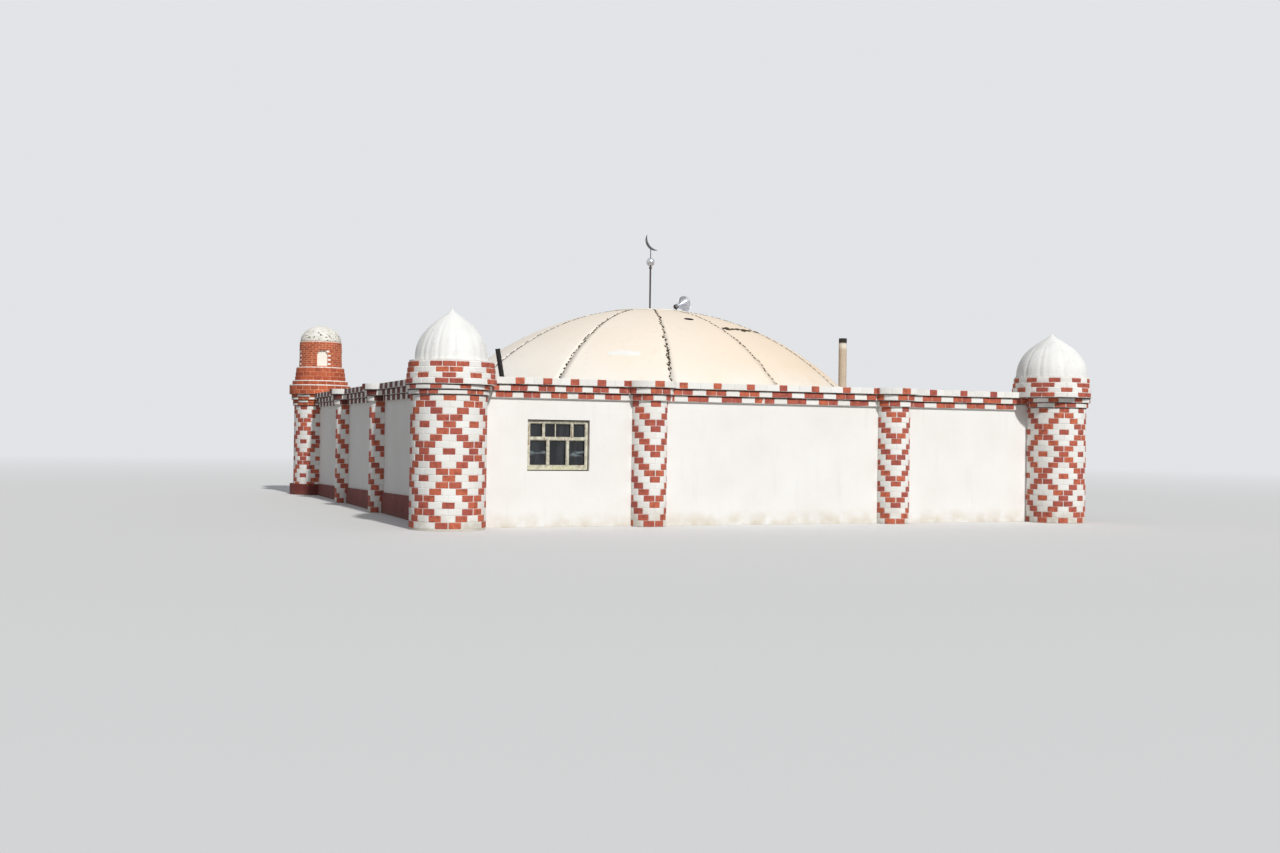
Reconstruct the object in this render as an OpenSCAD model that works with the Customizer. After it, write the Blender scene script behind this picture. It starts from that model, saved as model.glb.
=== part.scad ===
// Domed prayer house of plastered brick with round corner towers, in millimetres.
// +X runs along the front, the front faces -Y, and z = 0 is the lowest ground at its foot.

/* [Plan] */
// Distance between the tower axes along the front
span_x = 14960; // [13800:10:16500]
// Distance between the tower axes from front to back
span_y = 16420; // [15600:10:18000]
// How far the front and back wall faces stand behind the tower axes
front_setback = 200; // [120:10:280]
// How far the side wall faces stand outside the tower axes
side_reach = 100; // [20:10:180]
// Thickness of the outer walls
wall_t = 500; // [420:10:560]
// Bed left between separate pieces of masonry
bed = 0.3; // [0.1:0.1:0.6]

/* [Heights] */
// Height of the inside floor
floor_z = 500; // [300:10:600]
// Height of the plain walls under the cornice
wall_h = 2680; // [2600:10:2900]
// Height of one course of the cornice
cornice_course_h = 140; // [110:5:170]
// How far each course of the cornice stands beyond the one below
cornice_step = 60; // [30:5:80]
// Thickness of the flat roof slab
roof_t = 200; // [120:10:260]
// How far the roof slab bears on the walls
roof_bearing = 200; // [120:10:240]

/* [Towers] */
// Radius of a tower shaft
tower_r = 765; // [730:5:800]
// Radius of the shaft under the wide head
wide_tower_r = 705; // [660:5:740]
// How far the shafts under the narrow heads stand above the plain walls
shaft_over = 20; // [10:5:80]
// How far the shaft under the wide head stands above the plain walls
wide_shaft_over = 65; // [20:5:90]
// How far the shaft of the minaret stands above the plain walls
minaret_shaft_over = 55; // [20:5:80]
// Height of one corbel ring under a tower head
ring_h = 100; // [80:5:120]
// How far each corbel ring stands beyond what is below it
ring_step = 45; // [25:5:50]
// Height of one brick course in a tower head
head_course_h = 112; // [104:1:125]
// Number of brick courses in a tower head
head_courses = 4; // [3:1:5]
// Height of the white rim on top of a tower head
head_rim_h = 36; // [20:2:60]
// How far a narrow head stands in from its shaft along the front
narrow_head_shift = 40; // [0:5:50]
// Radius of the narrow head at its foot
narrow_head_r = 910; // [885:5:930]
// Radius of the narrow head at its top
narrow_head_top_r = 840; // [785:5:870]
// Height of one corbel ring under the wide head
wide_ring_h = 118; // [90:2:140]
// Height of one brick course in the wide head
wide_head_course_h = 115; // [104:1:130]
// How far the wide head stands in from its shaft along the front
wide_head_shift = 130; // [0:5:150]
// Radius of the wide head at its foot
wide_head_r = 930; // [900:5:960]
// Radius of the wide head at its top
wide_head_top_r = 855; // [845:5:890]
// Radius of the onion dome on a narrow head
narrow_onion_r = 740; // [690:5:780]
// Radius of the onion dome on a wide head
wide_onion_r = 835; // [780:5:840]
// Height of an onion dome
onion_h = 1070; // [900:10:1200]

/* [Minaret] */
// Height of one corbel ring under the minaret's collar
minaret_ring_h = 174; // [140:2:190]
// Radius of the brick collar over the corbel rings
collar_r = 920; // [880:5:960]
// Height of the brick collar
collar_h = 290; // [240:10:340]
// Radius of the step on top of the collar
collar_step_r = 835; // [800:5:870]
// Height of the step on top of the collar
collar_step_h = 135; // [100:5:160]
// Radius of the drum at its foot
drum_r = 760; // [730:5:790]
// Radius of the drum at its top
drum_top_r = 710; // [690:5:725]
// Height of the drum
drum_h = 415; // [360:5:460]
// Radius of the lantern at its foot
lantern_r = 655; // [635:5:680]
// Radius of the lantern at its top
lantern_top_r = 630; // [626:2:634]
// Height of the lantern
lantern_h = 790; // [700:10:880]
// Number of arched niches round the lantern
niche_count = 4; // [3:1:6]
// Width of a niche
niche_w = 310; // [240:10:350]
// Height of a niche to the crown of its arch
niche_h = 500; // [420:10:580]
// Height of a niche's floor above the foot of the lantern
niche_up = 40; // [20:5:120]
// Depth of a niche
niche_d = 70; // [40:5:110]
// Direction that the first niche faces
niche_turn = -94; // [-120:1:-60]
// Radius of the cap over the lantern
cap_r = 624; // [600:2:626]
// Height of the cap over the lantern
cap_h = 510; // [420:10:580]

/* [Columns] */
// Distance from the middle of the front to each half-round column
front_column_x = 3040; // [2500:10:3600]
// Radius of the columns on the front and back
front_column_r = 390; // [320:5:440]
// Distance along the side wall to its forward column
side_column_front = -2030; // [-2800:10:-1400]
// Distance along the side wall to its rear column
side_column_back = 2760; // [2000:10:3400]
// Radius of the columns on the side walls
side_column_r = 310; // [260:5:360]

/* [Plinth] */
// How far the plinth stands proud of the left wall
plinth_t = 60; // [30:5:90]
// How far the plinth stands proud of the back left tower
plinth_foot_t = 110; // [60:5:140]
// Height of the plinth at the front end
plinth_front_h = 575; // [500:5:650]
// Height of the plinth at the back end
plinth_back_h = 330; // [260:5:400]

/* [Window and door] */
// Width of the window opening
window_w = 1370; // [1100:10:1500]
// Height of the window sill above the lowest ground
window_z = 1170; // [1000:10:1300]
// Height of the window opening
window_h = 1070; // [900:10:1150]
// Depth of the reveal outside the window frame
reveal = 70; // [40:5:120]
// Thickness of the window frame from outside to inside
frame_t = 60; // [40:5:80]
// Width of the outer members of the window frame
frame_w = 75; // [50:5:90]
// Height of the deep bottom rail of the window frame
bottom_rail_h = 130; // [90:5:170]
// Height of the transom above the foot of the window opening
transom_z = 670; // [560:10:760]
// Width of the transom and the mullions
mullion_w = 70; // [40:5:90]
// Width of the narrow side lights over the transom
side_light_w = 265; // [200:5:300]
// Thickness of the glass
glass_t = 6; // [4:1:10]
// Width of the doorway in the back wall
door_w = 1400; // [1100:10:1800]
// Height of the wall over the doorway
door_lintel_h = 180; // [120:10:400]
// Width of the members of the door frame
door_frame_w = 80; // [60:5:110]
// Thickness of the door frame
door_frame_t = 110; // [80:5:140]
// Thickness of the door leaves
door_leaf_t = 45; // [35:5:60]
// Gap round the door leaves
door_gap = 0.6; // [0.3:0.1:0.9]

/* [Dome] */
// Radius of the sphere that the dome is part of
dome_r = 7577; // [7400:1:7900]
// Height of the top of the dome above the lowest ground
dome_top_z = 5392; // [5200:1:5600]
// How far the dome stands towards the front
dome_forward = 300; // [0:10:500]
// How far the dome stands towards the right
dome_side = 90; // [0:5:150]
// Thickness of the dome shell
dome_t = 70; // [50:5:100]
// Height of the foot of the dome above the roof slab
kerb_up = 80; // [40:5:160]
// Width of the ring that carries the dome
kerb_w = 320; // [260:5:400]
// Number of gores in the dome
gore_count = 12;
// Direction of one seam between two gores
seam_turn = 13.5; // [0:0.5:29.5]
// Open seam between two gores at the foot of the dome
seam_gap = 4; // [2:0.5:8]
// Radius of the cap disc over the top of the gores
cap_disc_r = 1050; // [900:10:1200]
// How far the cap disc laps over the gores
cap_lap = 90; // [60:5:120]
// Thickness of the cap disc
cap_disc_t = 20; // [12:1:30]

/* [Finial] */
// Height from the top of the dome to the top of the rod
rod_h = 1190; // [900:10:1300]
// Radius of the rod
rod_r = 24; // [16:1:32]
// Radius of the knob on the rod
knob_r = 42; // [34:1:52]
// Radius of the ball
ball_r = 115; // [90:1:150]
// Height of the stem between the ball and the crescent
stem_h = 236; // [160:2:280]
// Radius of the stem
stem_r = 12; // [9:1:16]
// Outer radius of the crescent
crescent_r = 275; // [230:5:310]
// Greatest width of the crescent
crescent_w = 68; // [50:1:85]
// Thickness of the crescent
crescent_t = 26; // [18:1:34]
// How far the middle of the crescent stands beside its stem
crescent_side = 120; // [60:1:150]
// Direction that the crescent opens in, from level
crescent_open = 38; // [20:1:50]
// Half the angle that the crescent's opening spans
crescent_half = 108; // [95:1:118]

/* [Roof fittings] */
// Distance of the loudspeaker from the axis of the dome
speaker_dist = 780; // [720:5:880]
// Direction of the loudspeaker from the axis of the dome
speaker_dir = -2; // [-12:1:8]
// Height of the loudspeaker above the cap disc
speaker_up = 160; // [150:5:240]
// Direction that the loudspeaker faces
speaker_turn = -75; // [-90:1:-50]
// How far the loudspeaker is tilted up
speaker_tilt = 8; // [4:1:30]
// Radius of the loudspeaker's bell
bell_r = 215; // [160:5:225]
// Length of the loudspeaker's horn
horn_l = 300; // [240:5:360]
// Radius of the throat of the horn
throat_r = 42; // [34:1:50]
// Wall thickness of the horn
horn_t = 6; // [4:0.5:9]
// Radius of the driver behind the horn
driver_r = 62; // [52:1:75]
// Length of the driver
driver_l = 130; // [100:5:160]
// Radius of the post that carries the loudspeaker
post_r = 16; // [12:1:22]
// Radius of the chimney pipe
chimney_r = 115; // [85:5:125]
// Wall thickness of the chimney pipe
chimney_t = 10; // [6:1:14]
// Gap between the chimney pipe and the ring that carries the dome
chimney_gap = 106; // [40:1:300]
// Direction of the chimney pipe from the axis of the dome
chimney_dir = -3; // [-20:1:10]
// Height of the top of the chimney pipe above the lowest ground
chimney_top_z = 4830; // [4300:10:5100]
// Radius of the stovepipe
stove_r = 52; // [44:1:62]
// Wall thickness of the stovepipe
stove_t = 6; // [4:0.5:8]
// Distance of the foot of the stovepipe from the axis of the front left tower
stove_in = 1430; // [1300:10:1700]
// Distance of the stovepipe from the front wall face
stove_back = 800; // [700:10:1000]
// Length of the stovepipe
stove_l = 865; // [800:5:1000]
// How far the stovepipe leans to the left
stove_lean = 10; // [0:1:25]

/* [Hidden] */
$fn = 96;
// The large circles of the dome and the cuts for the towers are drawn finer
fine_fn = 600;
half_x = span_x / 2;
half_y = span_y / 2;
face_y = half_y - front_setback;
face_x = half_x + side_reach;
inner_y = face_y - wall_t;
inner_x = face_x - wall_t;
shaft_h = wall_h + shaft_over;
wide_shaft_h = wall_h + wide_shaft_over;
minaret_shaft_h = wall_h + minaret_shaft_over;
rings_top = shaft_h + 2 * ring_h;
head_h = head_course_h * head_courses + head_rim_h;
head_top = rings_top + head_h;
wide_rings_top = wide_shaft_h + 2 * wide_ring_h;
wide_head_h = wide_head_course_h * head_courses + head_rim_h;
wide_head_top = wide_rings_top + wide_head_h;
cornice_courses = 3;
// The window stands in the middle of the bay between a column and a tower
window_x = (front_column_x + front_column_r + half_x - tower_r) / 2;
door_h = wall_h - door_lintel_h - floor_z;
roof_z = wall_h;
roof_top = roof_z + roof_t;
// The roof slab's edge, where it stops against the inside of the cornice
roof_half_x = inner_x + roof_bearing;
roof_half_y = inner_y + roof_bearing;
dome_x = dome_side;
dome_y = -dome_forward;
dome_centre_z = dome_top_z - dome_r;
dome_foot_z = roof_top + kerb_up;
dome_foot_r = sqrt(dome_r * dome_r - pow(dome_foot_z - dome_centre_z, 2));
kerb_r = dome_foot_r - dome_t / 2 + kerb_w / 2;
chimney_dist = kerb_r + chimney_gap + chimney_r;
gore_gap_angle = seam_gap / dome_foot_r * 180 / PI;
gore_angle = 360 / gore_count - gore_gap_angle;
gores_a_side = gore_count / 4;
disc_outer_r = dome_r + bed + cap_disc_t;
disc_top_z = dome_centre_z + disc_outer_r;
ball_z = disc_top_z + rod_h + ball_r;
crescent_foot_z = ball_z + ball_r + stem_h;
// A box larger than the building, for cutting
beyond = 2 * max(span_x, span_y);
// Overshoot of a cut past the face that it opens
over = 5;

// Where the towers stand
module at_front_left() {
    translate([-half_x, -half_y, 0]) children();
}
module at_front_right() {
    translate([half_x, -half_y, 0]) children();
}
module at_back_left() {
    translate([-half_x, half_y, 0]) children();
}
module at_back_right() {
    translate([half_x, half_y, 0]) children();
}
module at_back() {
    rotate([0, 0, 180]) children();
}
module at_dome() {
    translate([dome_x, dome_y, dome_centre_z]) children();
}

// Two corbel rings over a shaft of radius r that ends at height z, each of height h
module corbel_rings(r, z, h, grow = 0) {
    translate([0, 0, z + bed - grow]) cylinder(h = h - bed + 2 * grow, r = r + ring_step + grow);
    translate([0, 0, z + h - grow]) cylinder(h = h + grow, r = r + 2 * ring_step + grow);
}

// The head over a shaft: the rings and a brick drum that leans in a little, shifted along the front
module narrow_head(shift) {
    corbel_rings(tower_r, shaft_h, ring_h);
    translate([shift, 0, rings_top]) cylinder(h = head_h, r1 = narrow_head_r, r2 = narrow_head_top_r);
}
module wide_head(shift) {
    corbel_rings(wide_tower_r, wide_shaft_h, wide_ring_h);
    translate([shift, 0, wide_rings_top])
    cylinder(h = wide_head_h, r1 = wide_head_r, r2 = wide_head_top_r);
}

// What the walls, the roof and the cornice leave free for a tower
module shaft_room(r, z) {
    translate([0, 0, -over]) cylinder(h = z + 2 * over, r = r + bed, $fn = fine_fn);
}
module tower_room(r, z, h, foot_r, foot_h, shift = 0) {
    shaft_room(r, z);
    corbel_rings(r, z, h, bed);
    translate([shift, 0, z + 2 * h - bed]) cylinder(h = foot_h, r = foot_r + bed);
}
module tower_rooms() {
    at_front_left() tower_room(tower_r, shaft_h, ring_h, narrow_head_r, head_h, narrow_head_shift);
    at_front_right()
    tower_room(wide_tower_r, wide_shaft_h, wide_ring_h, wide_head_r, wide_head_h, -wide_head_shift);
    at_back_left() tower_room(tower_r, minaret_shaft_h, minaret_ring_h, collar_r, collar_h);
    at_back_right() tower_room(tower_r, shaft_h, ring_h, narrow_head_r, head_h, -narrow_head_shift);
}
// What the plinth leaves free for the two left towers
module left_shaft_rooms() {
    at_front_left() shaft_room(tower_r, shaft_h);
    at_back_left() shaft_room(tower_r, minaret_shaft_h);
}

// Half width of an onion dome at a share of its height: full at the foot, pointed at the tip
function onion_share(t) = (1 - pow(t, 2.25)) * (1 - 0.85 * pow(t, 8));
onion_steps = 20;
module onion(r) {
    outline = [for (i = [0 : onion_steps]) [r * onion_share(i / onion_steps), onion_h * i / onion_steps]];
    rotate_extrude() polygon(concat([[0, 0]], outline));
}

// Floor on its fill, inside the walls
module floor_slab() {
    color("dimgray")
    translate([-inner_x + bed, -inner_y + bed, 0])
    cube([2 * (inner_x - bed), 2 * (inner_y - bed), floor_z]);
}

// A long wall with a window in its left bay, seen from outside
module long_wall() {
    difference() {
        translate([-half_x, -face_y, 0]) cube([span_x, wall_t, wall_h]);
        translate([-window_x - window_w / 2, -face_y - over, window_z])
        cube([window_w, wall_t + 2 * over, window_h]);
    }
}
module front_wall() {
    color("whitesmoke")
    difference() {
        long_wall();
        tower_rooms();
    }
}
module back_wall() {
    color("whitesmoke")
    difference() {
        at_back() long_wall();
        tower_rooms();
        translate([-door_w / 2, inner_y - over, floor_z]) cube([door_w, wall_t + 2 * over, door_h]);
    }
}

// A plain side wall between the long walls
module side_wall() {
    translate([-face_x, -inner_y + bed, 0]) cube([wall_t, 2 * (inner_y - bed), wall_h]);
}
module left_wall() {
    color("lightgray")
    difference() {
        side_wall();
        tower_rooms();
    }
}
module right_wall() {
    color("lightgray")
    difference() {
        at_back() side_wall();
        tower_rooms();
    }
}

// Half-round columns, seated on the wall faces
module front_pair(z, h, r, reach = 0) {
    for (s = [-1, 1])
        intersection() {
            translate([s * front_column_x, -face_y, z]) cylinder(h = h, r = r);
            translate([-half_x, -face_y - beyond, z]) cube([span_x, beyond - bed + reach, h]);
        }
}
module left_pair(z, h, r, reach = 0) {
    for (y = [side_column_front, side_column_back])
        intersection() {
            translate([-face_x, y, z]) cylinder(h = h, r = r);
            translate([-face_x - beyond, -half_y, z]) cube([beyond - bed + reach, span_y, h]);
        }
}
module front_columns() {
    color("firebrick") front_pair(0, wall_h - bed, front_column_r);
}
module back_columns() {
    color("firebrick") at_back() front_pair(0, wall_h - bed, front_column_r);
}
module side_columns() {
    color("firebrick") {
        left_pair(0, wall_h - bed, side_column_r);
        mirror([1, 0, 0]) left_pair(0, wall_h - bed, side_column_r);
    }
}

// Painted plinth along the left wall, and the ring round the foot of the back left tower
module plinth_ring_room(grow) {
    translate([0, 0, -over]) cylinder(h = plinth_back_h + 2 * over, r = tower_r + plinth_foot_t + grow);
}
module left_plinth() {
    run = 2 * half_y;
    color("maroon")
    difference() {
        translate([-face_x - plinth_t, -half_y, 0])
        rotate([90, 0, 90])
        linear_extrude(plinth_t - bed)
        polygon([[0, 0], [run, 0], [run, plinth_back_h], [0, plinth_front_h]]);
        left_shaft_rooms();
        at_back_left() plinth_ring_room(bed);
        translate([0, 0, -over]) left_pair(0, wall_h, side_column_r + bed, over);
    }
}
module tower_plinth() {
    color("maroon")
    difference() {
        at_back_left() cylinder(h = plinth_back_h, r = tower_r + plinth_foot_t);
        left_shaft_rooms();
        translate([-face_x - bed, -beyond / 2, -over]) cube([beyond, beyond / 2 + face_y + bed, wall_h]);
    }
}

// Three courses of brick, each further out than the one below, that swell round the columns
module long_cornice() {
    for (i = [0 : cornice_courses - 1]) {
        out = cornice_step * (i + 1);
        z = wall_h + i * cornice_course_h;
        translate([-half_x, -face_y - out, z]) cube([span_x, wall_t - roof_bearing + out, cornice_course_h]);
        front_pair(z, cornice_course_h, front_column_r + out, over);
    }
}
module side_cornice() {
    for (i = [0 : cornice_courses - 1]) {
        out = cornice_step * (i + 1);
        z = wall_h + i * cornice_course_h;
        translate([-face_x - out, -inner_y - roof_bearing + bed, z])
        cube([wall_t - roof_bearing + out, 2 * (inner_y + roof_bearing - bed), cornice_course_h]);
        left_pair(z, cornice_course_h, side_column_r + out, over);
    }
}
module front_cornice() {
    color("indianred")
    difference() {
        long_cornice();
        tower_rooms();
    }
}
module back_cornice() {
    color("indianred")
    difference() {
        at_back() long_cornice();
        tower_rooms();
    }
}
module left_cornice() {
    color("indianred")
    difference() {
        side_cornice();
        tower_rooms();
    }
}
module right_cornice() {
    color("indianred")
    difference() {
        mirror([1, 0, 0]) side_cornice();
        tower_rooms();
    }
}

// Brick shafts of the corner towers, straight from the lowest ground to the corbel rings
module front_left_shaft() {
    color("tomato") at_front_left() cylinder(h = shaft_h, r = tower_r);
}
module front_right_shaft() {
    color("tomato") at_front_right() cylinder(h = wide_shaft_h, r = wide_tower_r);
}
module back_left_shaft() {
    color("tomato") at_back_left() cylinder(h = minaret_shaft_h, r = tower_r);
}
module back_right_shaft() {
    color("tomato") at_back_right() cylinder(h = shaft_h, r = tower_r);
}

// Heads and onion domes of the three onion towers
module front_left_head() {
    color("salmon") at_front_left() narrow_head(narrow_head_shift);
}
module front_right_head() {
    color("salmon") at_front_right() wide_head(-wide_head_shift);
}
module back_right_head() {
    color("salmon") at_back_right() narrow_head(-narrow_head_shift);
}
module front_left_onion() {
    color("white") at_front_left() translate([narrow_head_shift, 0, head_top + bed]) onion(narrow_onion_r);
}
module front_right_onion() {
    color("white")
    at_front_right() translate([-wide_head_shift, 0, wide_head_top + bed]) onion(wide_onion_r);
}
module back_right_onion() {
    color("white")
    at_back_right() translate([-narrow_head_shift, 0, head_top + bed]) onion(narrow_onion_r);
}

// The minaret: corbel rings and collar, drum, lantern with niches, and cap
collar_foot = minaret_shaft_h + 2 * minaret_ring_h;
collar_top = collar_foot + collar_h + collar_step_h;
drum_top = collar_top + bed + drum_h;
lantern_top = drum_top + bed + lantern_h;
module minaret_collar() {
    color("firebrick")
    at_back_left() {
        corbel_rings(tower_r, minaret_shaft_h, minaret_ring_h);
        translate([0, 0, collar_foot]) cylinder(h = collar_h, r = collar_r);
        translate([0, 0, collar_foot + collar_h]) cylinder(h = collar_step_h, r = collar_step_r);
    }
}
module minaret_drum() {
    color("chocolate")
    at_back_left() translate([0, 0, collar_top + bed]) cylinder(h = drum_h, r1 = drum_r, r2 = drum_top_r);
}
module niche() {
    straight = niche_h - niche_w / 2;
    translate([lantern_top_r - niche_d, 0, 0])
    rotate([90, 0, 90])
    linear_extrude(lantern_r)
    union() {
        translate([-niche_w / 2, 0]) square([niche_w, straight]);
        translate([0, straight]) circle(niche_w / 2);
    }
}
module minaret_lantern() {
    color("chocolate")
    at_back_left() translate([0, 0, drum_top + bed])
    difference() {
        cylinder(h = lantern_h, r1 = lantern_r, r2 = lantern_top_r);
        for (i = [0 : niche_count - 1])
            rotate([0, 0, niche_turn + i * 360 / niche_count]) translate([0, 0, niche_up]) niche();
    }
}
cap_steps = 14;
module minaret_cap() {
    // A full round cap that rises to a blunt point
    outline = [for (i = [0 : cap_steps])
        let (a = 90 * i / cap_steps) [cap_r * cos(a), cap_h * pow(sin(a), 1.15)]];
    color("white")
    at_back_left() translate([0, 0, lantern_top + bed]) rotate_extrude() polygon(concat([[0, 0]], outline));
}

// Flat roof slab on the walls, open under the dome, and the ring that carries the dome
module roof_slab() {
    color("gray")
    difference() {
        translate([-roof_half_x + bed, -roof_half_y + bed, roof_z + bed])
        cube([2 * (roof_half_x - bed), 2 * (roof_half_y - bed), roof_t - bed]);
        tower_rooms();
        translate([dome_x, dome_y, roof_z - over]) cylinder(h = roof_t + 2 * over, r = kerb_r + bed);
    }
}
module roof_ring() {
    color("darkgray")
    translate([dome_x, dome_y, roof_z])
    difference() {
        cylinder(h = roof_t + kerb_up - bed, r = kerb_r);
        translate([0, 0, -over]) cylinder(h = roof_t + kerb_up + 2 * over, r = kerb_r - kerb_w);
    }
}

// Dome shell in gores, each a slice of the sphere between the foot and the cap
arc_steps = 24;
module gore_section() {
    foot = dome_foot_z - dome_centre_z;
    head = cap_disc_r - cap_lap;
    inner_r = dome_r - dome_t;
    foot_angle = asin(foot / dome_r);
    head_angle = acos(head / dome_r);
    inner_foot_angle = asin(foot / inner_r);
    inner_head_angle = acos(head / inner_r);
    // Up the outside from the foot to the head, and back down the inside
    polygon(concat(
        [for (i = [0 : arc_steps])
            let (a = foot_angle + (head_angle - foot_angle) * i / arc_steps) dome_r * [cos(a), sin(a)]],
        [for (i = [arc_steps : -1 : 0])
            let (a = inner_foot_angle + (inner_head_angle - inner_foot_angle) * i / arc_steps)
            inner_r * [cos(a), sin(a)]]
    ));
}
module gores(first) {
    at_dome()
    for (i = [0 : gores_a_side - 1])
        rotate([0, 0, seam_turn + (first + i) * 360 / gore_count + gore_gap_angle / 2])
        rotate_extrude(angle = gore_angle, $fn = fine_fn) gore_section();
}
module dome_gores_right() {
    color("wheat") gores(-2);
}
module dome_gores_back() {
    color("wheat") gores(1);
}
module dome_gores_left() {
    color("wheat") gores(4);
}
module dome_gores_front() {
    color("wheat") gores(7);
}
disc_steps = 12;
module dome_cap() {
    reach = asin(cap_disc_r / (dome_r + bed));
    angles = [for (i = [0 : disc_steps]) reach * i / disc_steps];
    lower = [for (a = angles) (dome_r + bed) * [sin(a), cos(a)]];
    upper = [for (i = [disc_steps : -1 : 0]) disc_outer_r * [sin(angles[i]), cos(angles[i])]];
    color("ivory") at_dome() rotate_extrude() polygon(concat(lower, upper));
}

// Finial: rod with a knob, ball, and crescent on a stem
module at_dome_top(z) {
    translate([dome_x, dome_y, z]) children();
}
module finial_rod() {
    color("dimgray")
    at_dome_top(disc_top_z + bed) {
        cylinder(h = rod_h - bed, r = rod_r);
        translate([0, 0, rod_h - bed - knob_r]) sphere(knob_r);
    }
}
module finial_ball() {
    color("silver")
    difference() {
        at_dome_top(ball_z) sphere(ball_r);
        at_dome_top(disc_top_z + rod_h - over) cylinder(h = over + bed, r = 2 * rod_r);
        at_dome_top(ball_z + ball_r - bed) cylinder(h = over, r = 2 * stem_r);
    }
}
module finial_crescent() {
    belly_r = crescent_r - crescent_w;
    tip_in = -crescent_r * cos(crescent_half);
    tip_out = crescent_r * sin(crescent_half);
    // The inner circle passes through both tips and leaves the belly its width
    shift = (tip_in * tip_in + tip_out * tip_out - belly_r * belly_r) / (2 * (belly_r - tip_in));
    // The outer circle meets the top of the stem
    centre_z = crescent_foot_z + sqrt(crescent_r * crescent_r - crescent_side * crescent_side);
    color("silver")
    union() {
        at_dome_top(ball_z + ball_r) cylinder(h = stem_h + crescent_w / 2, r = stem_r);
        at_dome_top(0)
        translate([crescent_side, crescent_t / 2, centre_z])
        rotate([90, 0, 0])
        linear_extrude(crescent_t)
        rotate([0, 0, crescent_open])
        difference() {
            circle(crescent_r);
            translate([shift, 0]) circle(belly_r + shift);
        }
    }
}

// Loudspeaker on a post that stands on the cap disc
speaker_x = speaker_dist * cos(speaker_dir);
speaker_y = speaker_dist * sin(speaker_dir);
speaker_foot_z = dome_centre_z + sqrt(disc_outer_r * disc_outer_r - speaker_dist * speaker_dist);
module at_speaker() {
    translate([dome_x + speaker_x, dome_y + speaker_y, speaker_foot_z + speaker_up])
    rotate([0, 90 - speaker_tilt, speaker_turn])
    children();
}
module speaker_horn() {
    color("lightslategray")
    at_speaker() {
        translate([0, 0, -driver_l / 2]) cylinder(h = driver_l, r = driver_r);
        translate([0, 0, driver_l / 2])
        difference() {
            cylinder(h = horn_l, r1 = throat_r, r2 = bell_r);
            translate([0, 0, 2 * horn_t])
            cylinder(h = horn_l, r1 = throat_r - horn_t, r2 = bell_r - horn_t + over);
        }
    }
}
module speaker_stand() {
    slope = asin(speaker_dist / disc_outer_r);
    color("dimgray")
    translate([dome_x + speaker_x, dome_y + speaker_y, speaker_foot_z])
    difference() {
        translate([0, 0, -post_r]) cylinder(h = speaker_up + post_r, r = post_r);
        // The disc's own slope cuts the foot of the post
        rotate([0, slope, speaker_dir])
        translate([-post_r * 2, -post_r * 2, -post_r * 4 + bed])
        cube(post_r * 4);
        // The post stops under the driver
        translate([0, 0, speaker_up])
        rotate([0, 90 - speaker_tilt, speaker_turn])
        translate([0, 0, -driver_l])
        cylinder(h = 2 * driver_l, r = driver_r + bed);
    }
}

// Pipes that stand on the flat roof
module chimney_pipe() {
    color("burlywood")
    translate([dome_x, dome_y, roof_top + bed])
    rotate([0, 0, chimney_dir])
    translate([chimney_dist, 0, 0])
    difference() {
        cylinder(h = chimney_top_z - roof_top - bed, r = chimney_r);
        translate([0, 0, -over]) cylinder(h = chimney_top_z, r = chimney_r - chimney_t);
    }
}
module stovepipe() {
    color("black")
    difference() {
        translate([-half_x + stove_in, -face_y + stove_back, roof_top])
        rotate([0, -stove_lean, 0])
        translate([0, 0, -stove_r])
        difference() {
            cylinder(h = stove_l + stove_r, r = stove_r);
            translate([0, 0, -over]) cylinder(h = stove_l + 2 * stove_r, r = stove_r - stove_t);
        }
        translate([-beyond / 2, -beyond / 2, -beyond + roof_top + bed]) cube([beyond, beyond, beyond]);
    }
}

// Timber window frame with a transom: three lights below, a wide light between two narrow above
module window_frame() {
    w = window_w - 2 * bed;
    h = window_h - 2 * bed;
    light_w = (w - 2 * frame_w - 2 * mullion_w) / 3;
    upper_z = transom_z + mullion_w / 2;
    upper_h = h - frame_w - upper_z;
    lower_h = transom_z - mullion_w / 2 - bottom_rail_h;
    centre_light_w = w - 2 * frame_w - 2 * mullion_w - 2 * side_light_w;
    translate([-window_x - w / 2, -face_y + reveal, window_z + bed])
    difference() {
        cube([w, frame_t, h]);
        for (i = [0 : 2])
            translate([frame_w + i * (light_w + mullion_w), -over, bottom_rail_h])
            cube([light_w, frame_t + 2 * over, lower_h]);
        for (x = [frame_w, w - frame_w - side_light_w])
            translate([x, -over, upper_z]) cube([side_light_w, frame_t + 2 * over, upper_h]);
        translate([frame_w + side_light_w + mullion_w, -over, upper_z])
        cube([centre_light_w, frame_t + 2 * over, upper_h]);
    }
}
module window_pane() {
    translate([-window_x - window_w / 2 + bed, -face_y + reveal + frame_t + bed, window_z + bed])
    cube([window_w - 2 * bed, glass_t, window_h - 2 * bed]);
}
module window_frames() {
    color("gainsboro") {
        window_frame();
        at_back() window_frame();
    }
}
module window_glass() {
    color("darkslategray") {
        window_pane();
        at_back() window_pane();
    }
}

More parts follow.
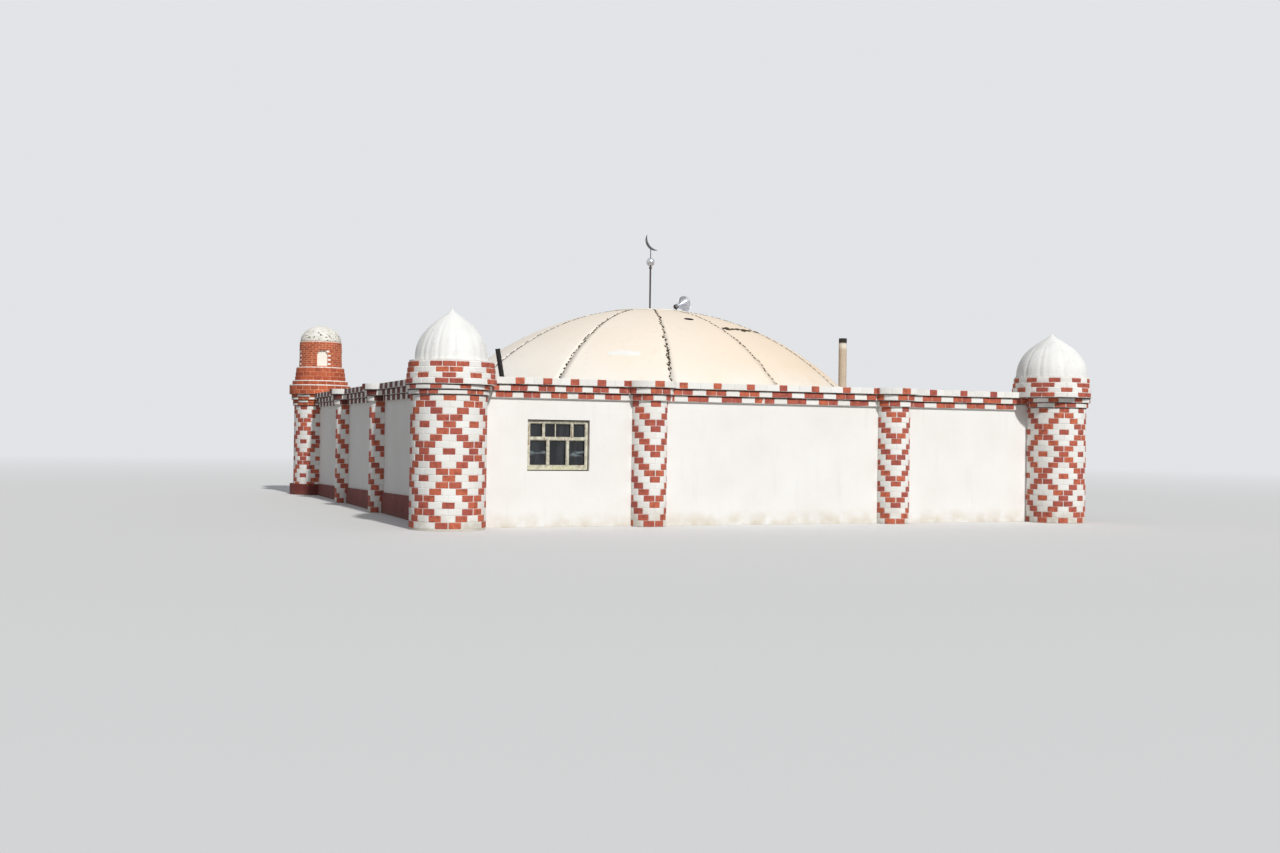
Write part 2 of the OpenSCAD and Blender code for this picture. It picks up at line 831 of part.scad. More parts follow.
// Closed double door in the back wall
module door_frame() {
    color("saddlebrown")
    translate([-door_w / 2 + bed, face_y - reveal - door_frame_t, floor_z + bed])
    difference() {
        cube([door_w - 2 * bed, door_frame_t, door_h - 2 * bed]);
        translate([door_frame_w, -over, -over])
        cube([
            door_w - 2 * bed - 2 * door_frame_w,
            door_frame_t + 2 * over,
            door_h - 2 * bed - door_frame_w + over
        ]);
    }
}
module door_leaves() {
    clear_w = door_w - 2 * bed - 2 * door_frame_w;
    leaf_w = (clear_w - 3 * door_gap) / 2;
    leaf_h = door_h - 2 * bed - door_frame_w - 2 * door_gap;
    color("peru")
    for (s = [0, 1])
        translate([
            -clear_w / 2 + door_gap + s * (leaf_w + door_gap),
            face_y - reveal - (door_frame_t + door_leaf_t) / 2,
            floor_z + door_gap
        ])
        cube([leaf_w, door_leaf_t, leaf_h]);
}

floor_slab();
front_wall();
back_wall();
left_wall();
right_wall();
left_plinth();
tower_plinth();
front_left_shaft();
front_right_shaft();
back_left_shaft();
back_right_shaft();
front_columns();
back_columns();
side_columns();
front_cornice();
back_cornice();
left_cornice();
right_cornice();
front_left_head();
front_right_head();
back_right_head();
front_left_onion();
front_right_onion();
back_right_onion();
minaret_collar();
minaret_drum();
minaret_lantern();
minaret_cap();
roof_slab();
roof_ring();
dome_gores_front();
dome_gores_right();
dome_gores_back();
dome_gores_left();
dome_cap();
finial_rod();
finial_ball();
finial_crescent();
speaker_horn();
speaker_stand();
chimney_pipe();
stovepipe();
window_frames();
window_glass();
door_frame();
door_leaves();
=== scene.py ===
import math
import random

import bpy
from mathutils import Matrix, Vector


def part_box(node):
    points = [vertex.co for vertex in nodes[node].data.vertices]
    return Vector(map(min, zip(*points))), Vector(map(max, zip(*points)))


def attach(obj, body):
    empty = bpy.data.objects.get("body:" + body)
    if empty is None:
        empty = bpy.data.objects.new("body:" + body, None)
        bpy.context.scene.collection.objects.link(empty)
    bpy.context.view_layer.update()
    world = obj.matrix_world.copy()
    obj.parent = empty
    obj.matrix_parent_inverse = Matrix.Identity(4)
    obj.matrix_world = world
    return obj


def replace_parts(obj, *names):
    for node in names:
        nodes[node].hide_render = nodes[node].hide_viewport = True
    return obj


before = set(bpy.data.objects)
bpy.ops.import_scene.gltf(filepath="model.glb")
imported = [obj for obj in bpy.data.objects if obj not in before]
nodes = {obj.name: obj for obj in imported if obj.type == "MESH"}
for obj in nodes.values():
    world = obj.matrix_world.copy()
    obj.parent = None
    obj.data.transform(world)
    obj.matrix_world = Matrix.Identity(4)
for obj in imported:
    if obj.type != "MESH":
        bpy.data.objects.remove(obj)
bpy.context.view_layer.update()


# The floor inside is a cement screed on packed fill. It is trowelled flat with a hand
# float and has worn paler and dustier where people walk.
def rgb(red, green, blue):
    """A paint colour from 0 to 255, as the shaders want it."""
    shares = [value / 255 for value in (red, green, blue)]
    linear = [s / 12.92 if s <= 0.04045 else ((s + 0.055) / 1.055) ** 2.4 for s in shares]
    return (*linear, 1.0)


class Finish:
    """One finish: a shader, and the patterns that colour it and give it relief."""

    def __init__(self, name, roughness, metal=0.0):
        self.material = bpy.data.materials.new(name)
        self.material.use_nodes = True
        self.tree = self.material.node_tree
        self.shader = self.tree.nodes["Principled BSDF"]
        self.shader.inputs["Roughness"].default_value = roughness
        self.shader.inputs["Metallic"].default_value = metal
        self.place = self.tree.nodes.new("ShaderNodeTexCoord").outputs["Object"]

    def feed(self, socket, value):
        """Sets a socket, or links it where the value is a pattern."""
        if isinstance(value, bpy.types.NodeSocket):
            self.tree.links.new(value, socket)
        else:
            socket.default_value = value

    def cloud(self, size, detail=3.0, squeeze=(1, 1, 1)):
        """A cloudy pattern from 0 to 1, whose patches are about size across."""
        mapping = self.tree.nodes.new("ShaderNodeMapping")
        mapping.inputs["Scale"].default_value = squeeze
        self.feed(mapping.inputs["Vector"], self.place)
        noise = self.tree.nodes.new("ShaderNodeTexNoise")
        noise.inputs["Scale"].default_value = 1 / size
        noise.inputs["Detail"].default_value = detail
        self.feed(noise.inputs["Vector"], mapping.outputs["Vector"])
        return noise.outputs["Fac"]

    def between(self, pattern, low, high):
        """The pattern stretched so that it is 0 at low and 1 at high, or the other way."""
        stretch = self.tree.nodes.new("ShaderNodeMapRange")
        self.feed(stretch.inputs["Value"], pattern)
        stretch.inputs["From Min"].default_value = low
        stretch.inputs["From Max"].default_value = high
        return stretch.outputs["Result"]

    def patches(self, size, low, high, detail=3.0, squeeze=(1, 1, 1)):
        """Cloudy patches about size across, from 0 where the cloud is low to 1 where high."""
        return self.between(self.cloud(size, detail, squeeze), low, high)

    def joined(self, how, first, second):
        """Two patterns added, subtracted or otherwise joined into one."""
        maths = self.tree.nodes.new("ShaderNodeMath")
        maths.operation = how
        self.feed(maths.inputs[0], first)
        self.feed(maths.inputs[1], second)
        return maths.outputs["Value"]

    def times(self, pattern, share):
        """A pattern weakened by a share, or kept only where another pattern is."""
        return self.joined("MULTIPLY", pattern, share)

    def along(self, axis):
        """How far the spot lies along an axis of the building, such as Z for its height."""
        split = self.tree.nodes.new("ShaderNodeSeparateXYZ")
        self.feed(split.inputs["Vector"], self.place)
        return split.outputs[axis]

    def below(self, height, foot=0.0):
        """A pattern that grows from 0 at a height to 1 at the foot."""
        return self.between(self.along("Z"), height, foot)

    def each(self):
        """A number from 0 to 1 that is different on every separate brick or dab."""
        return self.tree.nodes.new("ShaderNodeNewGeometry").outputs["Random Per Island"]

    def over(self, under, colour, share):
        """A colour laid over another where the share is 1."""
        coat = self.tree.nodes.new("ShaderNodeMix")
        coat.data_type = "RGBA"
        self.feed(coat.inputs["Factor"], share)
        self.feed(coat.inputs["A"], under)
        self.feed(coat.inputs["B"], colour)
        return coat.outputs["Result"]

    def colour(self, colour):
        """Gives the surface its colour, or a pattern of colours."""
        self.feed(self.shader.inputs["Base Color"], colour)

    def relief(self, pattern, depth):
        """Raises and sinks the surface by the pattern; reliefs add up."""
        bump = self.tree.nodes.new("ShaderNodeBump")
        bump.inputs["Distance"].default_value = depth
        self.feed(bump.inputs["Height"], pattern)
        normal = self.shader.inputs["Normal"]
        if normal.is_linked:
            self.feed(bump.inputs["Normal"], normal.links[0].from_socket)
        self.feed(normal, bump.outputs["Normal"])

    def bumps(self, size, depth, detail=3.0, squeeze=(1, 1, 1)):
        """A relief of cloudy bumps about size across."""
        self.relief(self.cloud(size, detail, squeeze), depth)


def dress(name, finish):
    """Gives a node of the part its finish."""
    slots = nodes[name].data.materials
    slots.clear()
    slots.append(finish.material)


screed = Finish("screed", roughness=0.85)
worn = screed.patches(1.6, 0.35, 0.65)
dusty = screed.patches(0.05, 0.3, 0.8, detail=5)
trodden = screed.over(rgb(150, 144, 134), rgb(172, 166, 154), worn)
screed.colour(screed.over(trodden, rgb(186, 180, 168), dusty))
screed.bumps(0.5, 0.004)
screed.bumps(0.012, 0.001)
dress("floor_slab", screed)


# The walls are half a metre of brick under hand-laid plaster and many coats of whitewash.
# They are a little uneven, faintly streaked under the cornice and splashed with mud below.
splash_top = 0.35

whitewash = Finish("whitewash", roughness=0.9)
patchy = whitewash.patches(1.1, 0.35, 0.7, detail=4)
coats = whitewash.over(rgb(246, 245, 242), rgb(240, 238, 234), patchy)
runs = whitewash.patches(0.16, 0.58, 0.82, detail=4, squeeze=(1, 1, 0.09))
coats = whitewash.over(coats, rgb(206, 204, 199), whitewash.times(runs, 0.22))
splash = whitewash.below(splash_top)
splash = whitewash.times(splash, whitewash.patches(0.35, 0.36, 0.66, detail=6))
coats = whitewash.over(coats, rgb(206, 192, 162), whitewash.times(splash, 0.7))
whitewash.colour(coats)
whitewash.bumps(0.9, 0.016, detail=2)
whitewash.bumps(0.09, 0.003)
whitewash.bumps(0.01, 0.0008, detail=5)
for wall in ("front_wall", "back_wall", "left_wall", "right_wall"):
    dress(wall, whitewash)


# The plinth along the left wall is plaster painted dark red. It runs round the foot of the
# back left tower, and dust and chips show the grey plaster through the paint.
plinth_mud_top = 0.16

plinth_paint = Finish("plinth_paint", roughness=0.8)
faded = plinth_paint.patches(0.7, 0.3, 0.7, detail=5)
red_coat = plinth_paint.over(rgb(98, 38, 33), rgb(120, 52, 44), faded)
chipped = plinth_paint.patches(0.06, 0.66, 0.70, detail=6)
red_coat = plinth_paint.over(red_coat, rgb(150, 136, 122), chipped)
mud = plinth_paint.below(plinth_mud_top)
red_coat = plinth_paint.over(red_coat, rgb(112, 82, 66), plinth_paint.times(mud, 0.4))
plinth_paint.colour(red_coat)
plinth_paint.bumps(0.25, 0.006)
plinth_paint.relief(chipped, -0.002)
for foot in ("left_plinth", "tower_plinth"):
    dress(foot, plinth_paint)


# The tower shafts are bricks laid on edge in thick mortar, eighteen to a course. Courses
# are painted brick by brick: red diamonds, joints and all, cross a whitewashed ground.
brick_l, brick_deep = 0.252, 0.05
brick_proud, brick_slack = 0.005, 0.0015
joint = 0.012
facet_turn, half_brick_turn = 5, 10
least_share = 0.3
ground_gap = 0.002
shade_grime_h, shade_grime_turn = 0.020, 10
shade_grime_proud, shade_grime_slack = 0.008, 0.0005
mortar_mud_top, brick_mud_top = 0.5, 0.55
WHITE, RED, SHADE_GRIME = 0, 1, 2

mortar = Finish("whitewashed_mortar", roughness=0.92)
shaded_lime = mortar.patches(0.3, 0.45, 0.8, detail=5)
lime = mortar.over(rgb(236, 234, 230), rgb(216, 213, 206), shaded_lime)
mortar_mud = mortar.times(mortar.below(mortar_mud_top), 0.5)
mortar.colour(mortar.over(lime, rgb(190, 178, 154), mortar_mud))
mortar.bumps(0.02, 0.002, detail=5)

white_brick = Finish("white_brick", roughness=0.88)
limed = white_brick.over(rgb(246, 245, 241), rgb(236, 234, 229), white_brick.each())
worn_off = white_brick.patches(0.045, 0.66, 0.76, detail=6)
limed = white_brick.over(limed, rgb(208, 190, 176), white_brick.times(worn_off, 0.5))
muddy = white_brick.below(brick_mud_top)
muddy = white_brick.times(muddy, white_brick.patches(0.22, 0.4, 0.62, detail=5))
limed = white_brick.over(limed, rgb(196, 186, 164), white_brick.times(muddy, 0.7))
white_brick.colour(limed)
white_brick.bumps(0.03, 0.003, detail=5)

red_brick = Finish("red_brick", roughness=0.82)
burnt = red_brick.over(rgb(206, 108, 76), rgb(170, 84, 74), red_brick.each())
sooted = red_brick.patches(0.10, 0.45, 0.75, detail=5)
burnt = red_brick.over(burnt, rgb(142, 70, 56), sooted)
limescale = red_brick.patches(0.035, 0.66, 0.74, detail=6)
burnt = red_brick.over(burnt, rgb(226, 180, 156), red_brick.times(limescale, 0.6))
red_brick.colour(burnt)
red_brick.bumps(0.025, 0.004, detail=6)

# Grime and painted shade: near-black strips in the top of each course that stands under an overhang.
shade_and_grime = Finish("painted_shade_and_grime", roughness=0.95)
rusty = shade_and_grime.patches(0.18, 0.4, 0.65, detail=5)
shade_and_grime.colour(shade_and_grime.over(rgb(44, 30, 27), rgb(92, 44, 34), rusty))
shade_and_grime.bumps(0.02, 0.003, detail=5)


def new_object(name, data):
    """An object of its mesh, lamp or camera, linked into the scene."""
    thing = bpy.data.objects.new(name, data)
    bpy.context.scene.collection.objects.link(thing)
    return thing


def ring_faces(first, rings, count, flipped=False):
    """The faces between rings of points, which follow each other from the first point on."""
    faces = []
    for low in range(first, first + (rings - 1) * count, count):
        for i in range(count):
            after = (i + 1) % count
            face = [low + i, low + after, low + count + after, low + count + i]
            faces.append(face[:1] + face[:0:-1] if flipped else face)
    return faces


class Bricks:
    """The bricks of one piece of masonry, laid one by one and kept as one mesh."""

    def __init__(self, seed, red=red_brick):
        self.points, self.faces, self.paints = [], [], []
        self.chance = random.Random(seed)
        self.finishes = (white_brick, red, shade_and_grime)

    def lay(self, plan, low, high, paint, slack=brick_slack):
        """A brick that stands on its plan, a loop of (x, y) seen from above, anticlockwise."""
        first, count = len(self.points), len(plan)
        for z in (low, high):
            for x, y in plan:
                shift = [self.chance.uniform(-slack, slack) for _ in range(3)]
                self.points.append((x + shift[0], y + shift[1], z + shift[2]))
        self.faces.append([first + i for i in reversed(range(count))])
        self.faces.append([first + count + i for i in range(count)])
        self.faces += ring_faces(first, 2, count)
        self.paints += [paint] * (count + 2)

    def build(self, name, soften=0.005):
        """One object of all the bricks, with their edges worn round."""
        mesh = bpy.data.meshes.new(name)
        mesh.from_pydata(self.points, [], self.faces)
        for finish in self.finishes:
            mesh.materials.append(finish.material)
        mesh.polygons.foreach_set("material_index", self.paints)
        mesh.update()
        piece = new_object(name, mesh)
        worn_edges = piece.modifiers.new("worn_edges", "BEVEL")
        worn_edges.width = soften
        worn_edges.segments = 1
        worn_edges.limit_method = "ANGLE"
        worn_edges.angle_limit = math.radians(40)
        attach(piece, "root")


def on_circle(centre, radius, degrees):
    """The spot at a distance from a centre, in one direction."""
    angle = math.radians(degrees)
    return (centre[0] + radius * math.cos(angle), centre[1] + radius * math.sin(angle))


def round_course(pile, centre, radius, low, high, stops, proud=brick_proud, red_bed=0.003):
    """One course of a round wall. Stops are (start, end, paint) of its bricks, in degrees."""
    half_joint = math.degrees(joint / 2 / radius)
    gaps = {WHITE: half_joint, RED: 1.5 * half_joint, SHADE_GRIME: 0}
    beds = {WHITE: joint / 2, RED: red_bed, SHADE_GRIME: 0}
    for start, end, paint in stops:
        out = radius + proud + pile.chance.uniform(-brick_slack, brick_slack)
        gap, bed = gaps[paint], beds[paint]
        facets = max(1, round((end - start) / facet_turn))
        turns = [start + gap + (end - start - 2 * gap) * i / facets for i in range(facets + 1)]
        plan = [on_circle(centre, out, turn) for turn in turns]
        plan += [on_circle(centre, radius - brick_deep, turn) for turn in (turns[-1], turns[0])]
        slack = shade_grime_slack if paint == SHADE_GRIME else brick_slack
        pile.lay(plan, low + bed, high - bed, paint, slack)


def shared_out(start, end, count, paint):
    """Equal bricks of one paint side by side, as stops."""
    size = (end - start) / count
    return [(start + i * size, start + (i + 1) * size, paint) for i in range(count)]


def shade_and_grime_line(pile, centre, radius, top, start=-180, end=180):
    """The dark line of dust and painted shade under a course that stands out."""
    steps = max(1, round((end - start) / shade_grime_turn))
    for stop in shared_out(start, end, steps, SHADE_GRIME):
        drop = shade_grime_h * pile.chance.uniform(0.8, 1.3)
        round_course(pile, centre, radius, top - drop, top, [stop], proud=shade_grime_proud)


def middle_of(low, high):
    """The middle of a box, seen from above."""
    return ((low.x + high.x) / 2, (low.y + high.y) / 2)


wall_low, wall_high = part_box("front_wall")
wall_top = wall_high.z
front_face = wall_low.y
side_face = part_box("left_wall")[0].x


def in_walls(x, y, margin=0.02):
    """Whether a spot lies inside the walls or the room, where no painted brick is seen."""
    return abs(y) < -front_face - margin and abs(x) < -side_face - margin


def is_diamond(row, step):
    """Whether a brick is red in the diamonds, which repeat every eight rows and half bricks."""
    turn = (row - 1) % 8
    on_line = (step - turn) % 8 == 4 or (step + turn) % 8 == 4
    in_middle = (turn == 0 and step % 8 == 0) or (turn == 4 and step % 8 == 4)
    return on_line or in_middle


def shaft_bricks(node, zero, course, seed):
    """All bricks of one shaft. Zero is the direction of the pattern's middle line."""
    low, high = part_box(node)
    centre, radius = middle_of(low, high), (high.x - low.x) / 2
    pile = Bricks(seed)
    half_round = 180 // half_brick_turn
    for row in range(1, math.ceil(high.z / course) + 1):
        top = high.z - (row - 1) * course
        bottom = max(top - course, ground_gap)
        if top - bottom < least_share * course:
            break
        # The top row gets a line of grime and painted shade under the ring above it.
        if row == 1:
            shade_and_grime_line(pile, centre, radius, top)
            top -= shade_grime_h
        for step in range(-half_round + (row + 1) % 2, half_round, 2):
            middle = zero + step * half_brick_turn
            if in_walls(*on_circle(centre, radius, middle)):
                continue
            paint = RED if is_diamond(row, step) else WHITE
            stop = (middle - half_brick_turn, middle + half_brick_turn, paint)
            round_course(pile, centre, radius, bottom, top, [stop])
    dress(node, mortar)
    pile.build(node + "_bricks")


shaft_bricks("front_left_shaft", zero=-103, course=0.133, seed=11)
shaft_bricks("front_right_shaft", zero=-71.7, course=0.1305, seed=12)
shaft_bricks("back_left_shaft", zero=-138, course=0.130, seed=13)
shaft_bricks("back_right_shaft", zero=77, course=0.133, seed=14)


# The half-round columns are built of the same bricks and bonded to the walls. Red bricks
# climb round them as chevrons: pointing down on the front and back, and up on the sides.
chevron_rows = 4
column_reach = 7
front_columns_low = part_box("front_columns")[0]
front_column_r = front_face - front_columns_low.y
front_column_x = -front_columns_low.x - front_column_r
side_columns_low, side_columns_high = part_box("side_columns")
side_column_r = side_face - side_columns_low.x
side_column_y = (side_columns_low.y + side_column_r, side_columns_high.y - side_column_r)


def column_bricks(pile, centre, radius, facing, rows, apex_row, pointing, aside=0.0):
    """One half-round column. Pointing is 1 where its chevrons point down and -1 where up."""
    turn = math.degrees(brick_l / 2 / radius)
    course = wall_top / rows
    for row in range(1, rows + 1):
        top = wall_top - (row - 1) * course
        bottom = max(top - course, ground_gap)
        above = (pointing * (apex_row - row)) % chevron_rows
        for step in range(-column_reach + (above + 1) % 2, column_reach + 1, 2):
            start = max(facing - 90, facing + aside + (step - 1) * turn)
            end = min(facing + 90, facing + aside + (step + 1) * turn)
            if end - start < least_share * turn:
                continue
            paint = RED if (abs(step) - above) % chevron_rows == 0 else WHITE
            round_course(pile, centre, radius, bottom, top, [(start, end, paint)])


for name, facing, seed in (("front_column_bricks", -90, 21), ("back_column_bricks", 90, 22)):
    sign = 1 if facing < 0 else -1
    pile = Bricks(seed)
    for x, rows, apex_row, aside in ((-front_column_x, 20, 1, 0.0), (front_column_x, 22, 3, -18.5)):
        foot = (sign * x, sign * front_face)
        column_bricks(pile, foot, front_column_r, facing, rows, apex_row, pointing=1, aside=aside)
    pile.build(name)
side_pile = Bricks(23)
for y in side_column_y:
    for face, facing in ((side_face, 180), (-side_face, 0)):
        column_bricks(side_pile, (face, y), side_column_r, facing, rows=20, apex_row=2, pointing=-1)
side_pile.build("side_column_bricks")
for columns in ("front_columns", "back_columns", "side_columns"):
    dress(columns, mortar)


# The cornice is three courses of brick, each further out than the one below, and swells
# round the columns. Red blocks stand over red pairs, with the long gaps left white. On the
# side walls the red is painted darker, as painted shade and soot.
cornice_low, cornice_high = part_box("front_cornice")
cornice_rise = (cornice_high.z - cornice_low.z) / 3
cornice_step = 0.06
cornice_bed, red_gap, cornice_slack = 0.004, 0.002, 0.003
cornice_shade_grime_l = 0.3
cornice_shade_grime_drop = shade_grime_h * 0.7
least_cut = 0.03
single_red = 0.20
pair_share = 0.61
side_period, side_single = 0.56, 0.32


def straight_plan(start, end, face, facing):
    """The plan of a brick in a straight wall. Facing is the direction that its face looks."""
    turn = math.radians(facing)
    along = Vector((-math.sin(turn), math.cos(turn)))
    out = Vector((math.cos(turn), math.sin(turn)))
    back = face - brick_deep
    corners = [out * face + along * start, out * face + along * end]
    corners += [out * back + along * end, out * back + along * start]
    return [(corner.x, corner.y) for corner in corners]


def cornice_cells(level, middle, period, single):
    """The bricks of one repeat of the cornice as (start, end, paint), about its middle."""
    pair = pair_share * period
    if level == 2:
        red = [(middle - single / 2, middle + single / 2, RED)]
        gap = (middle + single / 2, middle + period - single / 2)
    else:
        red = [(middle - pair / 2, middle, RED), (middle, middle + pair / 2, RED)]
        gap = (middle + pair / 2, middle + period - pair / 2)
    return red + shared_out(*gap, max(1, round((gap[1] - gap[0]) / brick_l)), WHITE)


def cornice_shade_and_grime(pile, facing, face, top, start, end):
    """The line of grime and painted shade along the top of a straight course, in lengths that hang
    unevenly.
    """
    at = start
    while at < end:
        reach = min(at + cornice_shade_grime_l, end)
        drop = shade_grime_h * pile.chance.uniform(0.8, 1.4)
        plan = straight_plan(at, reach, face + shade_grime_proud, facing)
        pile.lay(plan, top - drop, top, SHADE_GRIME, shade_grime_slack)
        at = reach


def cornice_bay(pile, facing, wall_face, start, end, period, first, single=single_red):
    """A straight stretch of the cornice between two columns, or a column and a tower."""
    for level in range(3):
        face = wall_face + cornice_step * (level + 1)
        low = wall_top + level * cornice_rise
        top = low + cornice_rise
        # The two lower courses get a line of grime and painted shade under the course above.
        if level < 2:
            cornice_shade_and_grime(pile, facing, face, top, start, end)
            top -= cornice_shade_grime_drop
        middle = first - (period / 2 if level == 0 else 0)
        while middle - period > start:
            middle -= period
        while middle < end + period:
            for cell_start, cell_end, paint in cornice_cells(level, middle, period, single):
                cell_start, cell_end = max(cell_start, start), min(cell_end, end)
                if cell_end - cell_start < least_cut:
                    continue
                proud = brick_proud + pile.chance.uniform(-cornice_slack, cornice_slack)
                gap = joint / 2 if paint == WHITE else red_gap
                plan = straight_plan(cell_start + gap, cell_end - gap, face + proud, facing)
                pile.lay(plan, low + cornice_bed, top - cornice_bed, paint, cornice_slack)
            middle += period


def bricks_between(start, end, radius, paint):
    """As many bricks as fit best between two directions of a round wall, as stops."""
    count = max(1, round(math.radians(end - start) * radius / brick_l))
    return shared_out(start, end, count, paint)


def cornice_swell(pile, centre, radius, facing, reds):
    """The cornice where it swells round a column. Reds are the red stretches of each course."""
    for level in range(3):
        swell_r = radius + cornice_step * (level + 1)
        low = wall_top + level * cornice_rise
        top = low + cornice_rise
        if level < 2:
            shade_and_grime_line(pile, centre, swell_r, top, facing - 90, facing + 90)
            top -= cornice_shade_grime_drop
        edges = sorted({-90, 90, *[edge for stretch in reds[level] for edge in stretch]})
        stops = []
        for start, end in zip(edges, edges[1:]):
            paint = RED if (start, end) in reds[level] else WHITE
            stops += bricks_between(facing + start, facing + end, swell_r, paint)
        round_course(pile, centre, swell_r, low, top, stops)


swell_reds = (((-75, -10), (30, 90)), ((-90, -54), (-20, 40)), ((-90, -63), (-11, 13)))
side_swell_reds = (((-60, 0), (45, 90)), ((-90, -35), (15, 60)), ((-20, 20),))
swell_half = front_column_r + 2 * cornice_step
side_swell_half = side_column_r + 2 * cornice_step
shaft_low, shaft_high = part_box("front_left_shaft")
shaft_r = (shaft_high.x - shaft_low.x) / 2
tower_x, tower_y = middle_of(shaft_low, shaft_high)
bay_end_x = -tower_x - shaft_r
bay_end_y = -tower_y - shaft_r
# Start and end of each bay, the length of its repeat, and the middle of one red block
front_bays = (
    (-bay_end_x, -front_column_x - swell_half, 0.598, -6.59),
    (-front_column_x + swell_half, front_column_x - swell_half, 0.806, -2.32),
    (front_column_x + swell_half, bay_end_x, 0.84, 4.02),
)


def long_cornice(name, facing, seed):
    """The cornice over the front, or over the back with the facing turned about."""
    sign = 1 if facing < 0 else -1
    pile = Bricks(seed)
    for start, end, period, first in front_bays:
        cornice_bay(pile, facing, -front_face, start, end, period, first)
    for x in (-front_column_x, front_column_x):
        cornice_swell(pile, (sign * x, sign * front_face), front_column_r, facing, swell_reds)
    pile.build(name)


# The side cornices' red is painted darker than the front's: painted shade, with sooty patches.
maroon_brick_with_painted_shade = Finish("maroon_brick_with_painted_shade", roughness=0.82)
soot_and_shade = maroon_brick_with_painted_shade.patches(0.2, 0.4, 0.7, detail=5)
shaded_red = maroon_brick_with_painted_shade.over(rgb(116, 50, 42), rgb(88, 38, 34), maroon_brick_with_painted_shade.each())
maroon_brick_with_painted_shade.colour(maroon_brick_with_painted_shade.over(shaded_red, rgb(62, 30, 28), soot_and_shade))
maroon_brick_with_painted_shade.bumps(0.025, 0.004, detail=6)


def side_cornice(name, facing, seed):
    """The cornice over the left wall, or over the right wall."""
    sign = -1 if facing == 180 else 1
    pile = Bricks(seed, red=maroon_brick_with_painted_shade)
    near, far = (-side_column_y[1], -side_column_y[0]) if facing == 180 else side_column_y
    starts = (-bay_end_y, near + side_swell_half, far + side_swell_half)
    ends = (near - side_swell_half, far - side_swell_half, bay_end_y)
    for start, end in zip(starts, ends):
        first = start + side_period / 2
        cornice_bay(pile, facing, -side_face, start, end, side_period, first, side_single)
    for y in side_column_y:
        cornice_swell(pile, (-sign * side_face, y), side_column_r, facing, side_swell_reds)
    pile.build(name)


long_cornice("front_cornice_bricks", -90, 31)
long_cornice("back_cornice_bricks", 90, 32)
side_cornice("left_cornice_bricks", 180, 33)
side_cornice("right_cornice_bricks", 0, 34)
for cornice in ("front_cornice", "back_cornice", "left_cornice", "right_cornice"):
    dress(cornice, mortar)


# The heads of the onion towers are two corbel rings under a brick drum of four courses
# that leans in a little. The red diamonds of the shaft are taken up again round the drum.
head_turn = 9
head_rim_h = 0.036
drum_rows = 4
drum_red_bed = 0.007
ring_out = 0.045
# Ring height, drum radius at its foot and top, and how far the drum stands beside its shaft
head_sizes = {
    "front_left_head": (0.100, 0.910, 0.840, 0.04),
    "front_right_head": (0.118, 0.930, 0.855, -0.13),
    "back_right_head": (0.100, 0.910, 0.840, -0.04),
}


def ring_bricks(pile, centre, radius, low, high, stretches):
    """A corbel ring with a line of grime and painted shade at its top. Stretches are its (start, end)
    reds.
    """
    shade_and_grime_line(pile, centre, radius, high)
    top = high - 0.8 * shade_grime_h
    next_starts = [start for start, _ in stretches[1:]] + [stretches[0][0] + 360]
    for (start, end), next_start in zip(stretches, next_starts):
        round_course(pile, centre, radius, low, top, bricks_between(start, end, radius, RED))
        round_course(pile, centre, radius, low, top, bricks_between(end, next_start, radius, WHITE))


def white_line(pile, centre, radius, low, high, proud):
    """A thin course painted white, all the way round."""
    round_course(pile, centre, radius, low, high, shared_out(0, 360, 20, WHITE), proud)


def spaced(first, wide, period):
    """Stretches of one width at even distances round a ring, from the first one's middle."""
    return [(first + i * period - wide / 2, first + i * period + wide / 2) for i in range(360 // period)]


def is_head_diamond(row, step, wide_first):
    """Whether a brick of the drum is red. The diamonds cross on the third row."""
    if row == 1:
        return step % 8 != 4 if wide_first else step % 4 == 2
    if row == 3:
        return step % 4 == 0
    return step % 8 in (1, 7)


def head_bricks(node, shaft, zero, rings, wide_first, seed):
    """Rings and drum of one tower head, over its shaft."""
    low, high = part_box(node)
    shaft_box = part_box(shaft)
    centre, radius = middle_of(*shaft_box), (shaft_box[1].x - shaft_box[0].x) / 2
    ring_h, foot_r, top_r, aside = head_sizes[node]
    pile = Bricks(seed)
    for level, stretches in enumerate(rings):
        ring_low = low.z + level * ring_h
        ring_r = radius + ring_out * (level + 1)
        ring_bricks(pile, centre, ring_r, ring_low, ring_low + ring_h, stretches)
    drum_centre = (centre[0] + aside, centre[1])
    drum_low = low.z + len(rings) * ring_h
    course = (high.z - head_rim_h - drum_low) / drum_rows
    slope = (foot_r - top_r) / (high.z - drum_low)
    half_round = 180 // head_turn
    for row in range(1, drum_rows + 1):
        top = high.z - head_rim_h - (row - 1) * course
        course_r = foot_r - slope * (top - course - drum_low)
        for step in range(-half_round + (row + 1) % 2, half_round, 2):
            middle = zero + step * head_turn
            paint = RED if is_head_diamond(row, step, wide_first) else WHITE
            stop = (middle - head_turn, middle + head_turn, paint)
            round_course(pile, drum_centre, course_r, top - course, top, [stop], red_bed=drum_red_bed)
    white_line(pile, drum_centre, top_r, high.z - head_rim_h, high.z + joint / 2, proud=0.008)
    dress(node, mortar)
    pile.build(node + "_bricks")


left_rings = (spaced(-135, 32, 72), spaced(-122, 17, 40))
right_rings = (spaced(-110, 41, 72), spaced(-132, 18, 45))
turned_rings = (spaced(45, 32, 72), spaced(58, 17, 40))
head_bricks("front_left_head", "front_left_shaft", -107, left_rings, True, 104)
head_bricks("front_right_head", "front_right_shaft", -141.5, right_rings, False, 141)
head_bricks("back_right_head", "back_right_shaft", 73, turned_rings, True, 56)


